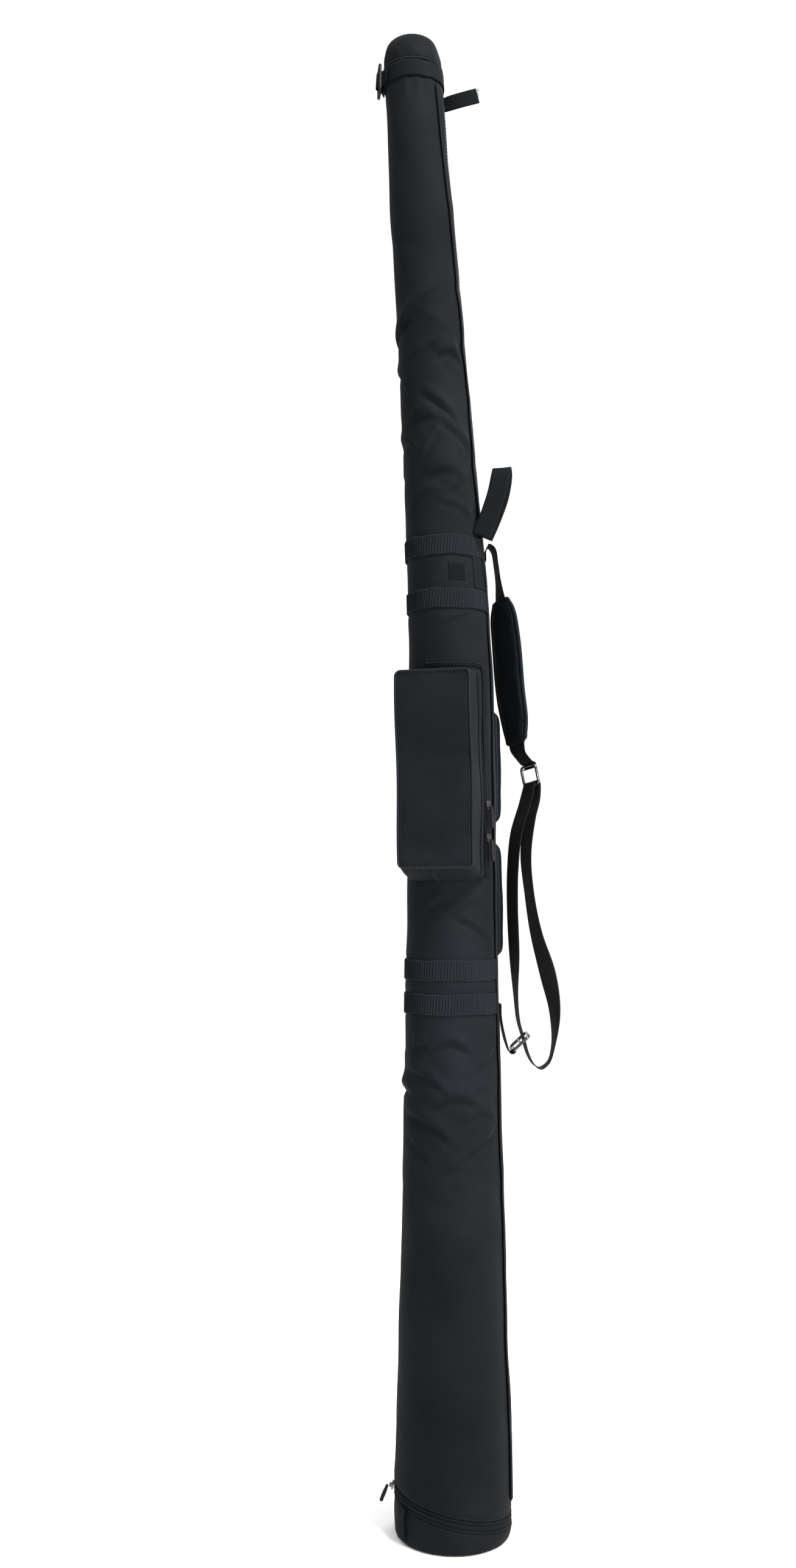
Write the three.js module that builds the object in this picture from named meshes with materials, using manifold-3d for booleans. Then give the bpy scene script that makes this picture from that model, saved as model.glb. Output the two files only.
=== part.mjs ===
// A didgeridoo in its padded carrying bag, standing on the bag's round base.
// Millimetres, +Z up. The origin is the centre of the flat underside; the accessory pocket faces -Y
// and the shoulder strap hangs on the +X side.
import * as THREE from "three";
import { mergeVertices } from "three/addons/utils/BufferGeometryUtils.js";
import Module from "manifold-3d";

const wasm = await Module();
wasm.setup();

// ---------------------------------------------------------------- driving dimensions
const FIT = 0.4; // clearance between soft layers
const STEP = 10; // degrees between the facets of everything that wraps the bag

// Bag: heights of the stations and the outer radius at each
const BAG_HEIGHT = 1850;
const BASE_RADIUS = 68.5;
const TAPER_Z = 90;
const THIGH_Z = 230;
const THIGH_RADIUS = 63.8;
const LOWER_BANDS_Z = 609;
const LOWER_BANDS_RADIUS = 55;
const POCKET_TOP_Z = 1023;
const POCKET_RADIUS = 50.6;
const UPPER_BANDS_Z = 1163;
const UPPER_BANDS_RADIUS = 46.8;
const CHEST_Z = 1415;
const CHEST_RADIUS = 41;
const CAP_H = 52; // height of the cap above the seam that joins it to the sleeve
const CAP_SEAM_Z = BAG_HEIGHT - CAP_H;
const NECK_Z = CAP_SEAM_Z - 98;
const NECK_RADIUS = 36.6;

// The upper part of the bag bends gently towards -X
const LEAN_START = 980;
const LEAN_BLEND = 160;
const LEAN_SLOPE = 0.062;

// Layers
const SHELL_T = 2.2;
const FOAM_T = 6;
const WEBBING_T = 1.4;
const BAND_T = 1.8;
const TAPE_T = 1.6;

// Base lid: its seam lies in a plane that drops towards +X
const SEAM_Z = 36;
const SEAM_TILT = 0.22;
const SEAM_TAPE_H = 8;
const TEETH_RISE = 0.6; // how far the zip's teeth stand out of the bag's surface
const LID_FLOOR_T = 3;
const LID_FILLET = 5;
const ZIP_CLOSED_AZ = -100; // the base zip's closed end, in degrees from the front
const ZIP_OPEN_AZ = 160; // its far end, round the front and the right side

// Neck band
const NECK_BAND_H = 22;

// Ribbed bands and webbing
const BAND_H = 25;
const BAND_PITCH = 40;
const UPPER_PITCH = 66;
const STRAP_W = 25;
const TAIL_W = 20;

// Main side zip: degrees from the front, lower part and top
const SIDE_ZIP_AZ = 79;
const SIDE_ZIP_TOP_AZ = 54;
const SIDE_ZIP_TURN_Z = 1450;
const SIDE_ZIP_W = 12;
const ZIP_BAND_GAP = 9; // degrees kept free of bands on each side of the side zip

// Pocket, in a frame turned POCKET_TURN degrees towards -X
const POCKET_TURN = 15;
const POCKET_W = 94;
const POCKET_H = 256;
const POCKET_REACH = 90;
const POCKET_REAR = 30;
const POCKET_WALL = 2.5;
const POCKET_CORNER = 9;
const POCKET_TAPE_W = 8;

// Instrument
const TUBE_TOP_Z = CAP_SEAM_Z - 38;
const BELL_RADIUS = BASE_RADIUS - 14.5;
const BELL_H = 220;
const TUBE_MID_Z = 722;
const TUBE_MID_RADIUS = 34;
const TUBE_TOP_RADIUS = NECK_RADIUS - 11.6;
const TUBE_WALL = 8;
const WAX_H = 20;
const WAX_T = 6;

// Zip sliders and pullers
const SLIDER_PLATE_T = 2.4;
const SLIDER_BRIDGE_H = 3;
const PULLER_T = 2.6;

// Buckles
const FRAME_T = 3.4;
const FRAME_RAIL = 3.2;
const BUCKLE_LIFT = 5; // neck buckle's mid-plane above the band

// ---------------------------------------------------------------- materials
const material = (color, roughness, metalness = 0) =>
  new THREE.MeshStandardMaterial({ color, roughness, metalness });
const fabric = material(0x171b20, 0.85);
const webbing = material(0x1b1f24, 0.8);
const elastic = material(0x20252a, 0.85);
const spacerMesh = material(0x101215, 0.95);
const zipTape = material(0x131518, 0.7);
const foam = material(0x3c3f44, 0.95);
const plastic = material(0x101113, 0.35);
const nickel = material(0x8f9296, 0.3, 0.9);
const rubber = material(0x15161a, 0.55);
const wood = material(0x8a5a33, 0.5);
const wax = material(0xa8752c, 0.45);

const bag = new THREE.Group();

function addMesh(name, geometry, surface) {
  const mesh = new THREE.Mesh(geometry, surface);
  mesh.name = name;
  bag.add(mesh);
  return mesh;
}

// ---------------------------------------------------------------- shape of the bag
const GIRTH = [
  [0, BASE_RADIUS],
  [TAPER_Z, BASE_RADIUS],
  [THIGH_Z, THIGH_RADIUS],
  [LOWER_BANDS_Z, LOWER_BANDS_RADIUS],
  [POCKET_TOP_Z, POCKET_RADIUS],
  [UPPER_BANDS_Z, UPPER_BANDS_RADIUS],
  [CHEST_Z, CHEST_RADIUS],
  [NECK_Z, NECK_RADIUS],
  [BAG_HEIGHT, NECK_RADIUS],
];

function radiusAt(z) {
  for (let i = 1; i < GIRTH.length; i++) {
    const [z0, r0] = GIRTH[i - 1];
    const [z1, r1] = GIRTH[i];
    if (z <= z1) return r0 + ((r1 - r0) * Math.max(z - z0, 0)) / (z1 - z0);
  }
  return NECK_RADIUS;
}

function leanAt(z) {
  const above = z - LEAN_START;
  if (above <= 0) return 0;
  if (above < LEAN_BLEND) return (-LEAN_SLOPE * above * above) / (2 * LEAN_BLEND);
  return -LEAN_SLOPE * (above - LEAN_BLEND / 2);
}

// A point at az degrees from the front (-Y), turning towards +X, r from the bag's centreline.
function on(az, r, z) {
  const a = THREE.MathUtils.degToRad(az);
  return new THREE.Vector3(r * Math.sin(a) + leanAt(z), -r * Math.cos(a), z);
}

// A point that stands out by dr from the bag's outer surface.
const proud = (az, dr, z) => on(az, radiusAt(z) + dr, z);

// A point at radius r, dz above the tilted seam of the base lid.
function overSeam(az, r, dz) {
  const p = on(az, r, SEAM_Z);
  p.z = SEAM_Z - SEAM_TILT * p.x + dz;
  return p;
}

function range(from, to, count) {
  return Array.from({ length: count + 1 }, (_, i) => from + ((to - from) * i) / count);
}

// Angles from one to another, near STEP apart.
const arc = (from, to) => range(from, to, Math.max(2, Math.round((to - from) / STEP)));
const fullTurn = range(0, 360, 360 / STEP).slice(0, -1);

// ---------------------------------------------------------------- solids
// Joins equal rings of points into one closed solid; "closed" joins the last ring to the first.
function loft(rings, closed = false) {
  const count = rings[0].length;
  const points = rings.flat();
  const faces = [];
  const quad = (a, b, c, d) => faces.push([a, b, c], [a, c, d]);
  const spans = closed ? rings.length : rings.length - 1;
  for (let i = 0; i < spans; i++) {
    const here = i * count;
    const next = ((i + 1) % rings.length) * count;
    for (let j = 0; j < count; j++) {
      const k = (j + 1) % count;
      quad(here + j, next + j, next + k, here + k);
    }
  }
  if (!closed) {
    const last = (rings.length - 1) * count;
    for (let j = 1; j < count - 1; j++) {
      faces.push([0, j, j + 1], [last, last + j + 1, last + j]);
    }
  }
  return solidGeometry(points, faces);
}

// Builds an indexed geometry from points and triangles, without doubled points or empty triangles,
// and turns it so that its faces point out.
function solidGeometry(points, faces) {
  const seen = new Map();
  const position = [];
  const index = points.map((p) => {
    const key = [p.x, p.y, p.z].map((value) => Math.round(value * 1000)).join();
    if (!seen.has(key)) {
      seen.set(key, position.length / 3);
      position.push(p.x, p.y, p.z);
    }
    return seen.get(key);
  });
  let volume = 0;
  const kept = [];
  for (const [a, b, c] of faces) {
    if (index[a] === index[b] || index[b] === index[c] || index[c] === index[a]) continue;
    kept.push([index[a], index[b], index[c]]);
    volume += points[a].dot(new THREE.Vector3().crossVectors(points[b], points[c]));
  }
  const outward = volume < 0 ? kept.map(([a, b, c]) => [a, c, b]) : kept;
  const geometry = new THREE.BufferGeometry();
  geometry.setAttribute("position", new THREE.Float32BufferAttribute(position, 3));
  geometry.setIndex(outward.flat());
  return geometry;
}

// A closed profile of [r, z] pairs carried once round the bag's centreline.
const turned = (profile) =>
  loft(fullTurn.map((az) => profile.map(([r, z]) => on(az, r, z))), true);

// A patch that hugs the bag between two angles, two heights and two offsets from its surface.
function wrapped(azFrom, azTo, zFrom, zTo, drIn, drOut) {
  return loft(
    arc(azFrom, azTo).map((az) => [
      proud(az, drIn, zFrom),
      proud(az, drOut, zFrom),
      proud(az, drOut, zTo),
      proud(az, drIn, zTo),
    ]),
  );
}

function toSolid(geometry) {
  const bare = geometry.clone();
  bare.deleteAttribute("normal");
  bare.deleteAttribute("uv");
  const merged = mergeVertices(bare, 1e-3);
  return new wasm.Manifold(
    new wasm.Mesh({
      numProp: 3,
      vertProperties: merged.attributes.position.array,
      triVerts: new Uint32Array(merged.index.array),
    }),
  );
}

function fromSolid(solid) {
  const { vertProperties, triVerts } = solid.getMesh();
  const geometry = new THREE.BufferGeometry();
  geometry.setAttribute("position", new THREE.BufferAttribute(vertProperties, 3));
  geometry.setIndex(new THREE.BufferAttribute(triVerts, 1));
  return geometry;
}

// A flat strap along stations { p, across }: across is the direction of its width.
// "closed" joins its ends; "share" gives the width at a station as a share of the full width.
function strap(stations, width, thickness, steps, closed = false) {
  const path = new THREE.CatmullRomCurve3(stations.map((s) => s.p), closed, "centripetal");
  const acrossPath = new THREE.CatmullRomCurve3(stations.map((s) => s.across), closed);
  const last = closed ? stations.length : stations.length - 1;
  const rings = range(0, 1, steps).map((t) => {
    const middle = path.getPoint(t);
    const along = path.getTangent(t);
    const across = acrossPath.getPoint(t);
    across.addScaledVector(along, -across.dot(along)).normalize();
    const up = new THREE.Vector3().crossVectors(along, across);
    const at = Math.min(Math.floor(t * last), last - 1);
    const shareHere = stations[at].share ?? 1;
    const shareNext = stations[(at + 1) % stations.length].share ?? 1;
    const share = shareHere + (shareNext - shareHere) * (t * last - at);
    const side = across.clone().multiplyScalar((width * share) / 2);
    const lift = up.multiplyScalar(thickness / 2);
    return [
      middle.clone().sub(side).sub(lift),
      middle.clone().add(side).sub(lift),
      middle.clone().add(side).add(lift),
      middle.clone().sub(side).add(lift),
    ];
  });
  return loft(closed ? rings.slice(0, -1) : rings, closed);
}

// A horizontal direction turned by degrees from -Y towards +X.
const heading = (degrees) => on(degrees, 1, 0);

// A moulded frame with bars across it, lying in its own x (length) and y (width) plane.
function barFrame(length, width, bars) {
  const outline = new THREE.Shape();
  const round = FRAME_RAIL;
  const [x, y] = [length / 2, width / 2];
  outline.moveTo(-x + round, -y);
  outline.lineTo(x - round, -y);
  outline.quadraticCurveTo(x, -y, x, -y + round);
  outline.lineTo(x, y - round);
  outline.quadraticCurveTo(x, y, x - round, y);
  outline.lineTo(-x + round, y);
  outline.quadraticCurveTo(-x, y, -x, y - round);
  outline.lineTo(-x, -y + round);
  outline.quadraticCurveTo(-x, -y, -x + round, -y);
  const plate = new THREE.ExtrudeGeometry(outline, {
    depth: FRAME_T,
    bevelEnabled: false,
    curveSegments: 3,
  });
  plate.translate(0, 0, -FRAME_T / 2);
  const slot = (length - FRAME_RAIL) / (bars - 1) - FRAME_RAIL;
  let frame = toSolid(plate);
  for (let i = 0; i < bars - 1; i++) {
    const hole = new THREE.BoxGeometry(slot, width - 2 * FRAME_RAIL, 2 * FRAME_T);
    hole.translate(-x + FRAME_RAIL + slot / 2 + i * (slot + FRAME_RAIL), 0, 0);
    frame = frame.subtract(toSolid(hole));
  }
  return fromSolid(frame);
}

// Stands a mesh at a point with its own x and y axes along the two directions given.
function stand(mesh, point, xAxis, yAxis) {
  const x = xAxis.clone().normalize();
  const z = new THREE.Vector3().crossVectors(x, yAxis).normalize();
  const y = new THREE.Vector3().crossVectors(z, x);
  mesh.setRotationFromMatrix(new THREE.Matrix4().makeBasis(x, y, z));
  mesh.position.copy(point);
}

// ---------------------------------------------------------------- bag shell
// Heights where the bag's outline changes or its centreline bends, between two limits.
function levels(from, to) {
  const bends = range(LEAN_START, LEAN_START + LEAN_BLEND, 5);
  const inside = [...GIRTH.map(([z]) => z), ...bends].filter((z) => z > from && z < to);
  return [from, ...inside.sort((a, b) => a - b), to];
}

function addShell() {
  const top = CAP_SEAM_Z;
  const heights = levels(SEAM_Z, top).slice(1);
  const lower = SEAM_TAPE_H / 2 + FIT;
  const rings = fullTurn.map((az) => [
    overSeam(az, BASE_RADIUS, lower),
    ...heights.map((z) => proud(az, 0, z)),
    ...heights.toReversed().map((z) => proud(az, -SHELL_T, z)),
    overSeam(az, BASE_RADIUS - SHELL_T, lower),
  ]);
  addMesh("outer_sleeve", loft(rings, true), fabric);

  const skin = -SHELL_T - FIT;
  const linerTop = top - FIT;
  const linerHeights = levels(SEAM_Z, linerTop).slice(1);
  const liner = fullTurn.map((az) => [
    overSeam(az, BASE_RADIUS + skin, lower),
    ...linerHeights.map((z) => proud(az, skin, z)),
    ...linerHeights.toReversed().map((z) => proud(az, skin - FOAM_T, z)),
    overSeam(az, BASE_RADIUS + skin - FOAM_T, lower),
  ]);
  addMesh("foam_liner", loft(liner, true), foam);
}

function addCap() {
  const bottom = CAP_SEAM_Z + FIT;
  const height = BAG_HEIGHT - bottom;
  const dome = (inset) =>
    range(0, 1, 6).map((t) => {
      const a = (t * Math.PI) / 2;
      const r = (NECK_RADIUS - inset) * Math.cos(a) ** 0.7;
      return [t === 1 ? 0 : r, bottom + (height - inset) * Math.sin(a)];
    });
  addMesh("top_cap", turned([...dome(0), ...dome(SHELL_T).toReversed()]), fabric);
}

function addBaseLid() {
  const rim = -SEAM_TAPE_H / 2;
  const inner = BASE_RADIUS - SHELL_T;
  const lid = fullTurn.map((az) => [
    on(az, 0, 0),
    on(az, BASE_RADIUS - LID_FILLET, 0),
    on(az, BASE_RADIUS - LID_FILLET * 0.3, LID_FILLET * 0.3),
    on(az, BASE_RADIUS, LID_FILLET),
    overSeam(az, BASE_RADIUS, rim),
    overSeam(az, inner, rim),
    on(az, inner, LID_FLOOR_T),
    on(az, 0, LID_FLOOR_T),
  ]);
  addMesh("bottom_lid", loft(lid, true), fabric);

  const padTop = SEAM_Z - SEAM_TILT * BASE_RADIUS + rim;
  const padRadius = inner - FIT;
  addMesh(
    "lid_foam_pad",
    turned([
      [0, LID_FLOOR_T + FIT],
      [padRadius, LID_FLOOR_T + FIT],
      [padRadius, padTop],
      [0, padTop],
    ]),
    foam,
  );
  return padTop;
}

// The zip between lid and sleeve, and the fabric hinge that closes the ring at the back left.
function addSeamRing() {
  const half = SEAM_TAPE_H / 2 - FIT;
  const section = (out) => (az) => [
    overSeam(az, BASE_RADIUS - SHELL_T, -half),
    overSeam(az, BASE_RADIUS + out, -half),
    overSeam(az, BASE_RADIUS + out, half),
    overSeam(az, BASE_RADIUS - SHELL_T, half),
  ];
  addMesh("base_zip_tape", loft(arc(ZIP_CLOSED_AZ, ZIP_OPEN_AZ).map(section(TEETH_RISE))), zipTape);
  addMesh("lid_hinge_fabric", loft(arc(ZIP_OPEN_AZ + 1, ZIP_CLOSED_AZ + 359).map(section(0))), fabric);
}

// A folded webbing tab on the lid, below the zip.
function addLidTab() {
  const az = -58;
  const top = 43;
  const foot = 8;
  const fold = 1.9;
  const across = heading(az + 90);
  const at = (dr, z) => ({ p: proud(az, dr, z), across });
  const near = FIT + WEBBING_T / 2 + 0.3;
  const stations = [
    at(near, foot),
    at(near, (foot + top) / 2),
    at(near, top - fold),
    at(near + fold / 2, top),
    at(near + fold, top - fold),
    at(near + fold, (foot + top) / 2),
    at(near + fold, foot),
  ];
  addMesh("lid_tab", strap(stations, 14, WEBBING_T - 0.4, 18), webbing);
}

// ---------------------------------------------------------------- zips
function sideZipAz(z) {
  const t = THREE.MathUtils.clamp((z - SIDE_ZIP_TURN_Z) / (CAP_SEAM_Z - SIDE_ZIP_TURN_Z), 0, 1);
  return SIDE_ZIP_AZ + (SIDE_ZIP_TOP_AZ - SIDE_ZIP_AZ) * t;
}

// A strip that runs up the bag beside the side zip; shift and width are measured on the surface.
function sideStrip(zFrom, zTo, shift, width, drIn, drOut) {
  const turning = range(SIDE_ZIP_TURN_Z, zTo, 9).filter((z) => z > CHEST_Z && z < zTo);
  const heights = [...new Set([...levels(zFrom, zTo), ...turning])].sort((a, b) => a - b);
  const rings = heights.map((z) => {
    const degrees = (length) => THREE.MathUtils.radToDeg(length / radiusAt(z));
    const left = sideZipAz(z) + degrees(shift - width / 2);
    const right = sideZipAz(z) + degrees(shift + width / 2);
    const middle = (left + right) / 2;
    return [
      proud(left, drIn, z),
      proud(middle, drIn, z),
      proud(right, drIn, z),
      proud(right, drOut, z),
      proud(middle, drOut, z),
      proud(left, drOut, z),
    ];
  });
  return loft(rings);
}

function addSideZip() {
  const bottom = SEAM_Z + SEAM_TAPE_H;
  const top = CAP_SEAM_Z - NECK_BAND_H - 6;
  const tapeOut = FIT + TAPE_T;
  addMesh("side_zip_tape", sideStrip(bottom, top, 0, SIDE_ZIP_W, FIT, tapeOut), zipTape);
  const flapIn = tapeOut + 2 * FIT;
  addMesh("side_zip_flap", sideStrip(bottom, top, -4, 10, flapIn, flapIn + 1.2), fabric);
}

// A zip slider: a low body with a bridge, standing on a point of a zip with its length along the zip.
function addSlider(name, foot, outward, along, scale = 1) {
  const body = new THREE.Shape();
  const [w, l] = [4 * scale, 6 * scale];
  body.moveTo(-l, -w * 0.6);
  body.lineTo(l * 0.2, -w);
  body.lineTo(l, -w);
  body.lineTo(l, w);
  body.lineTo(l * 0.2, w);
  body.lineTo(-l, w * 0.6);
  body.closePath();
  const height = SLIDER_PLATE_T * scale;
  const plate = new THREE.ExtrudeGeometry(body, { depth: height, bevelEnabled: false });
  const bridge = new THREE.Shape();
  const rise = SLIDER_BRIDGE_H * scale;
  bridge.moveTo(-l * 0.7, 0);
  bridge.lineTo(-l * 0.7, rise * 0.73);
  bridge.lineTo(-l * 0.3, rise);
  bridge.lineTo(l * 0.6, rise);
  bridge.lineTo(l * 0.9, rise * 0.73);
  bridge.lineTo(l * 0.9, 0);
  bridge.lineTo(l * 0.5, 0);
  bridge.lineTo(l * 0.5, rise * 0.6);
  bridge.lineTo(-l * 0.3, rise * 0.6);
  bridge.lineTo(-l * 0.3, 0);
  bridge.closePath();
  const arch = new THREE.ExtrudeGeometry(bridge, { depth: 2 * scale, bevelEnabled: false });
  arch.rotateX(Math.PI / 2);
  arch.translate(0, scale, height - 0.01);
  const mesh = addMesh(name, fromSolid(toSolid(plate).add(toSolid(arch))), nickel);
  const side = new THREE.Vector3().crossVectors(outward, along);
  stand(mesh, foot, along, side);
}

// How far a puller's middle stands above the foot of a slider of this scale.
const pullerLift = (scale) => (SLIDER_PLATE_T + SLIDER_BRIDGE_H) * scale + FIT + PULLER_T / 2;

// A moulded puller hung from a slider's bridge: it starts at "top" and runs along "down".
function addPuller(name, top, down, outward, length) {
  const outline = new THREE.Shape();
  const ring = 2.2;
  const tip = 2.9;
  outline.moveTo(0, -ring);
  outline.lineTo(length - tip, -tip);
  outline.quadraticCurveTo(length, -tip, length, 0);
  outline.quadraticCurveTo(length, tip, length - tip, tip);
  outline.lineTo(0, ring);
  outline.closePath();
  const geometry = new THREE.ExtrudeGeometry(outline, {
    depth: PULLER_T,
    bevelEnabled: false,
    curveSegments: 4,
  });
  geometry.translate(0, 0, -PULLER_T / 2);
  const mesh = addMesh(name, geometry, rubber);
  stand(mesh, top, down, new THREE.Vector3().crossVectors(outward, down));
}

function addBaseZipSlider() {
  const az = -93;
  const outward = squared(heading(az), new THREE.Vector3(SEAM_TILT, 0, 1).normalize());
  const foot = overSeam(az, BASE_RADIUS + TEETH_RISE + FIT + 0.6, 0);
  const along = overSeam(az - 2, BASE_RADIUS, 0).sub(overSeam(az + 2, BASE_RADIUS, 0));
  addSlider("base_zip_slider", foot, outward, along);
  const hang = new THREE.Vector3(-0.42, 0, -1).normalize();
  const top = foot.clone().addScaledVector(outward, pullerLift(1) + 0.2);
  addPuller("base_zip_puller", top, hang, outward, 22);
}

// ---------------------------------------------------------------- neck
// The neck band with its buckle; returns the height of the band's lower edge.
function addNeck() {
  const top = CAP_SEAM_Z - 2;
  const bottom = top - NECK_BAND_H;
  const out = FIT + BAND_T;
  const band = [
    [NECK_RADIUS + FIT, bottom],
    [NECK_RADIUS + out, bottom],
    [NECK_RADIUS + out, top],
    [NECK_RADIUS + FIT, top],
  ];
  addMesh("neck_band", turned(band), webbing);

  const az = -84;
  const middle = (top + bottom) / 2;
  const outward = heading(az);
  const around = heading(az + 90);
  const frameLength = 26;
  const seat = on(az, NECK_RADIUS + out + BUCKLE_LIFT, middle);
  const frame = addMesh("neck_buckle", barFrame(frameLength, TAIL_W + 18, 3), plastic);
  stand(frame, seat, around, new THREE.Vector3(0, 0, 1));

  // The webbing that holds the buckle: up through one slot, over the middle bar, down through the other.
  const across = new THREE.Vector3(-LEAN_SLOPE, 0, 1);
  const hug = NECK_RADIUS + out + FIT + WEBBING_T / 2;
  const follow = (shift) => Math.sqrt(hug * hug - shift * shift);
  const over = NECK_RADIUS + out + BUCKLE_LIFT + FRAME_T / 2 + 2 * FIT + WEBBING_T / 2;
  const at = (shift, r) => ({
    p: on(az, r, middle).addScaledVector(around, shift),
    across,
  });
  const half = [
    [2, over],
    [4.8, over - 3],
    [7.6, hug + 0.6],
    [11, follow(11)],
    [15, follow(15)],
    [19, follow(19)],
  ];
  const stations = [
    ...half.toReversed().map(([shift, r]) => at(-shift, r)),
    ...half.map(([shift, r]) => at(shift, r)),
  ];
  addMesh("neck_buckle_webbing", strap(stations, TAIL_W, WEBBING_T - 0.2, 30), webbing);
  return bottom;
}

// The free end of the neck strap: it follows the back of the neck and sticks out towards +X.
function addNeckTail(bandBottom) {
  const across = new THREE.Vector3(-LEAN_SLOPE, 0, 1);
  const middle = bandBottom - FIT - TAIL_W / 2;
  const hug = FIT + 0.2 + WEBBING_T / 2;
  const stations = range(180, 130, 5).map((az) => ({ p: proud(az, hug, middle), across }));
  const leaves = proud(112, hug + 0.6, middle);
  const out = (dx, dy, dz) => ({
    p: leaves.clone().add(new THREE.Vector3(dx, dy, dz)),
    across: new THREE.Vector3(-0.1, 0, 1),
  });
  stations.push({ p: leaves, across }, out(12, -7, 0.5), out(28, -11, 3), out(45, -12, 7));
  addMesh("neck_strap_tail", strap(stations, TAIL_W, WEBBING_T, 24), webbing);
}

// ---------------------------------------------------------------- bands and small parts
const bandBottoms = [
  UPPER_BANDS_Z,
  UPPER_BANDS_Z - UPPER_PITCH,
  LOWER_BANDS_Z + BAND_PITCH,
  LOWER_BANDS_Z,
];

function addBands() {
  const from = SIDE_ZIP_AZ + ZIP_BAND_GAP;
  const to = 360 + SIDE_ZIP_AZ - ZIP_BAND_GAP;
  bandBottoms.forEach((z, i) => {
    const shape = wrapped(from, to, z, z + BAND_H, FIT, FIT + BAND_T);
    addMesh("ribbed_band_" + (i + 1), shape, elastic);
  });
}

function addAnchorStrip() {
  const bottom = UPPER_BANDS_Z - UPPER_PITCH + BAND_H + FIT;
  const top = UPPER_BANDS_Z - FIT;
  addMesh("anchor_strip", wrapped(41, 69, bottom, top, FIT, FIT + WEBBING_T), webbing);
}

function addLabel() {
  const middle = UPPER_BANDS_Z - (UPPER_PITCH - BAND_H) / 2;
  const half = 11;
  addMesh("label_patch", wrapped(1, 28, middle - half, middle + half, FIT, FIT + 1.2), fabric);
}

// A hanging loop of doubled webbing that stands up behind the upper band.
function addHangLoop() {
  const foot = UPPER_BANDS_Z + BAND_H + FIT;
  const across = heading(90);
  const side = leanAt(foot) + radiusAt(foot);
  const front = -0.74 * radiusAt(foot);
  // dx places the webbing's inner edge
  const at = (dx, dy, dz) => ({
    p: new THREE.Vector3(side + dx + STRAP_W / 2, front + dy, foot + dz),
    across,
  });
  const stations = [
    at(-10.9, 0, 0.6),
    at(-2, -3, 22),
    at(8, -6, 52),
    at(13, -6, 76),
    at(15, -2, 84),
    at(16.5, 2.5, 76),
    at(13, 4, 52),
    at(2.5, 8.5, 22),
    at(-6.9, 11.5, 0.6),
  ];
  addMesh("hang_loop", strap(stations, STRAP_W, WEBBING_T, 34), webbing);
}

// ---------------------------------------------------------------- pocket
const pocketBottom = POCKET_TOP_Z - POCKET_H;

// The pocket's box, inset by a wall; it is as open at the rear as "rear" says.
function pocketBlock(inset, rear) {
  const half = POCKET_W / 2 - inset;
  const front = POCKET_REACH - inset;
  const round = Math.max(POCKET_CORNER - inset, 1);
  const outline = new THREE.Shape();
  outline.moveTo(-half, rear);
  outline.lineTo(half, rear);
  outline.lineTo(half, front - round);
  outline.quadraticCurveTo(half, front, half - round, front);
  outline.lineTo(-half + round, front);
  outline.quadraticCurveTo(-half, front, -half, front - round);
  outline.closePath();
  const box = new THREE.ExtrudeGeometry(outline, {
    depth: POCKET_H - 2 * inset,
    bevelEnabled: false,
    curveSegments: 4,
  });
  box.rotateX(Math.PI);
  box.translate(0, 0, POCKET_TOP_Z - inset);
  box.rotateZ(-THREE.MathUtils.degToRad(POCKET_TURN));
  return toSolid(box);
}

function addPocket() {
  const backOut = FIT + 1.2;
  const clear = backOut + FIT;
  const heights = levels(pocketBottom - BAND_H, POCKET_TOP_Z + BAND_H);
  const core = toSolid(
    turned([
      [0, heights[0]],
      ...heights.map((z) => [radiusAt(z) + clear, z]),
      [0, heights[heights.length - 1]],
    ]),
  );
  const lid = pocketBlock(0, POCKET_REAR)
    .subtract(pocketBlock(POCKET_WALL, POCKET_REAR - 2 * POCKET_W / 3))
    .subtract(core);
  addMesh("pocket_lid", fromSolid(lid), fabric);
  const [left, right] = [-60 - POCKET_TURN, 58 - POCKET_TURN];
  const back = wrapped(left, right, pocketBottom + 1, POCKET_TOP_Z - 1, FIT, backOut);
  addMesh("pocket_back", back, fabric);
}

// The pocket's zip hugs the bag beside the lid's right edge and over its top.
const pocketZipAz = 65.5 - POCKET_TURN;

function addPocketZip() {
  const top = POCKET_TOP_Z + POCKET_TAPE_W / 2 + 3;
  const path = [
    [pocketZipAz, pocketBottom + 6],
    ...range(pocketBottom + 50, top - 14, 4).map((z) => [pocketZipAz, z]),
    [pocketZipAz - 1.5, top - 6],
    [pocketZipAz - 6, top - 1],
    [pocketZipAz - 14, top],
    ...range(pocketZipAz - 26, -POCKET_TURN - 20, 6).map((az) => [az, top]),
  ];
  const hug = FIT + TAPE_T / 2 + 0.2;
  const stations = path.map(([az, z], i) => {
    const p = proud(az, hug, z);
    const before = proud(...spread(path[Math.max(i - 1, 0)], hug));
    const after = proud(...spread(path[Math.min(i + 1, path.length - 1)], hug));
    const across = new THREE.Vector3().crossVectors(after.sub(before), on(az, 1, 0)).normalize();
    return { p, across };
  });
  addMesh("pocket_zip_tape", strap(stations, POCKET_TAPE_W, TAPE_T, 44), zipTape);
}

const spread = ([az, z], dr) => [az, dr, z];

function addPocketSliders() {
  const scale = 0.8;
  const lift = FIT + TAPE_T + 0.2 + FIT + 0.2;
  const outward = heading(pocketZipAz);
  const up = new THREE.Vector3(0, 0, 1);
  const down = new THREE.Vector3(0.06, 0, -1).normalize();
  [
    ["upper", 92],
    ["lower", 52],
  ].forEach(([place, height]) => {
    const z = pocketBottom + height;
    addSlider("pocket_slider_" + place, proud(pocketZipAz, lift, z), outward, up, scale);
    const hook = proud(pocketZipAz, lift + pullerLift(scale), z - 2);
    addPuller("pocket_puller_" + place, hook, down, outward, 26);
  });
}

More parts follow.
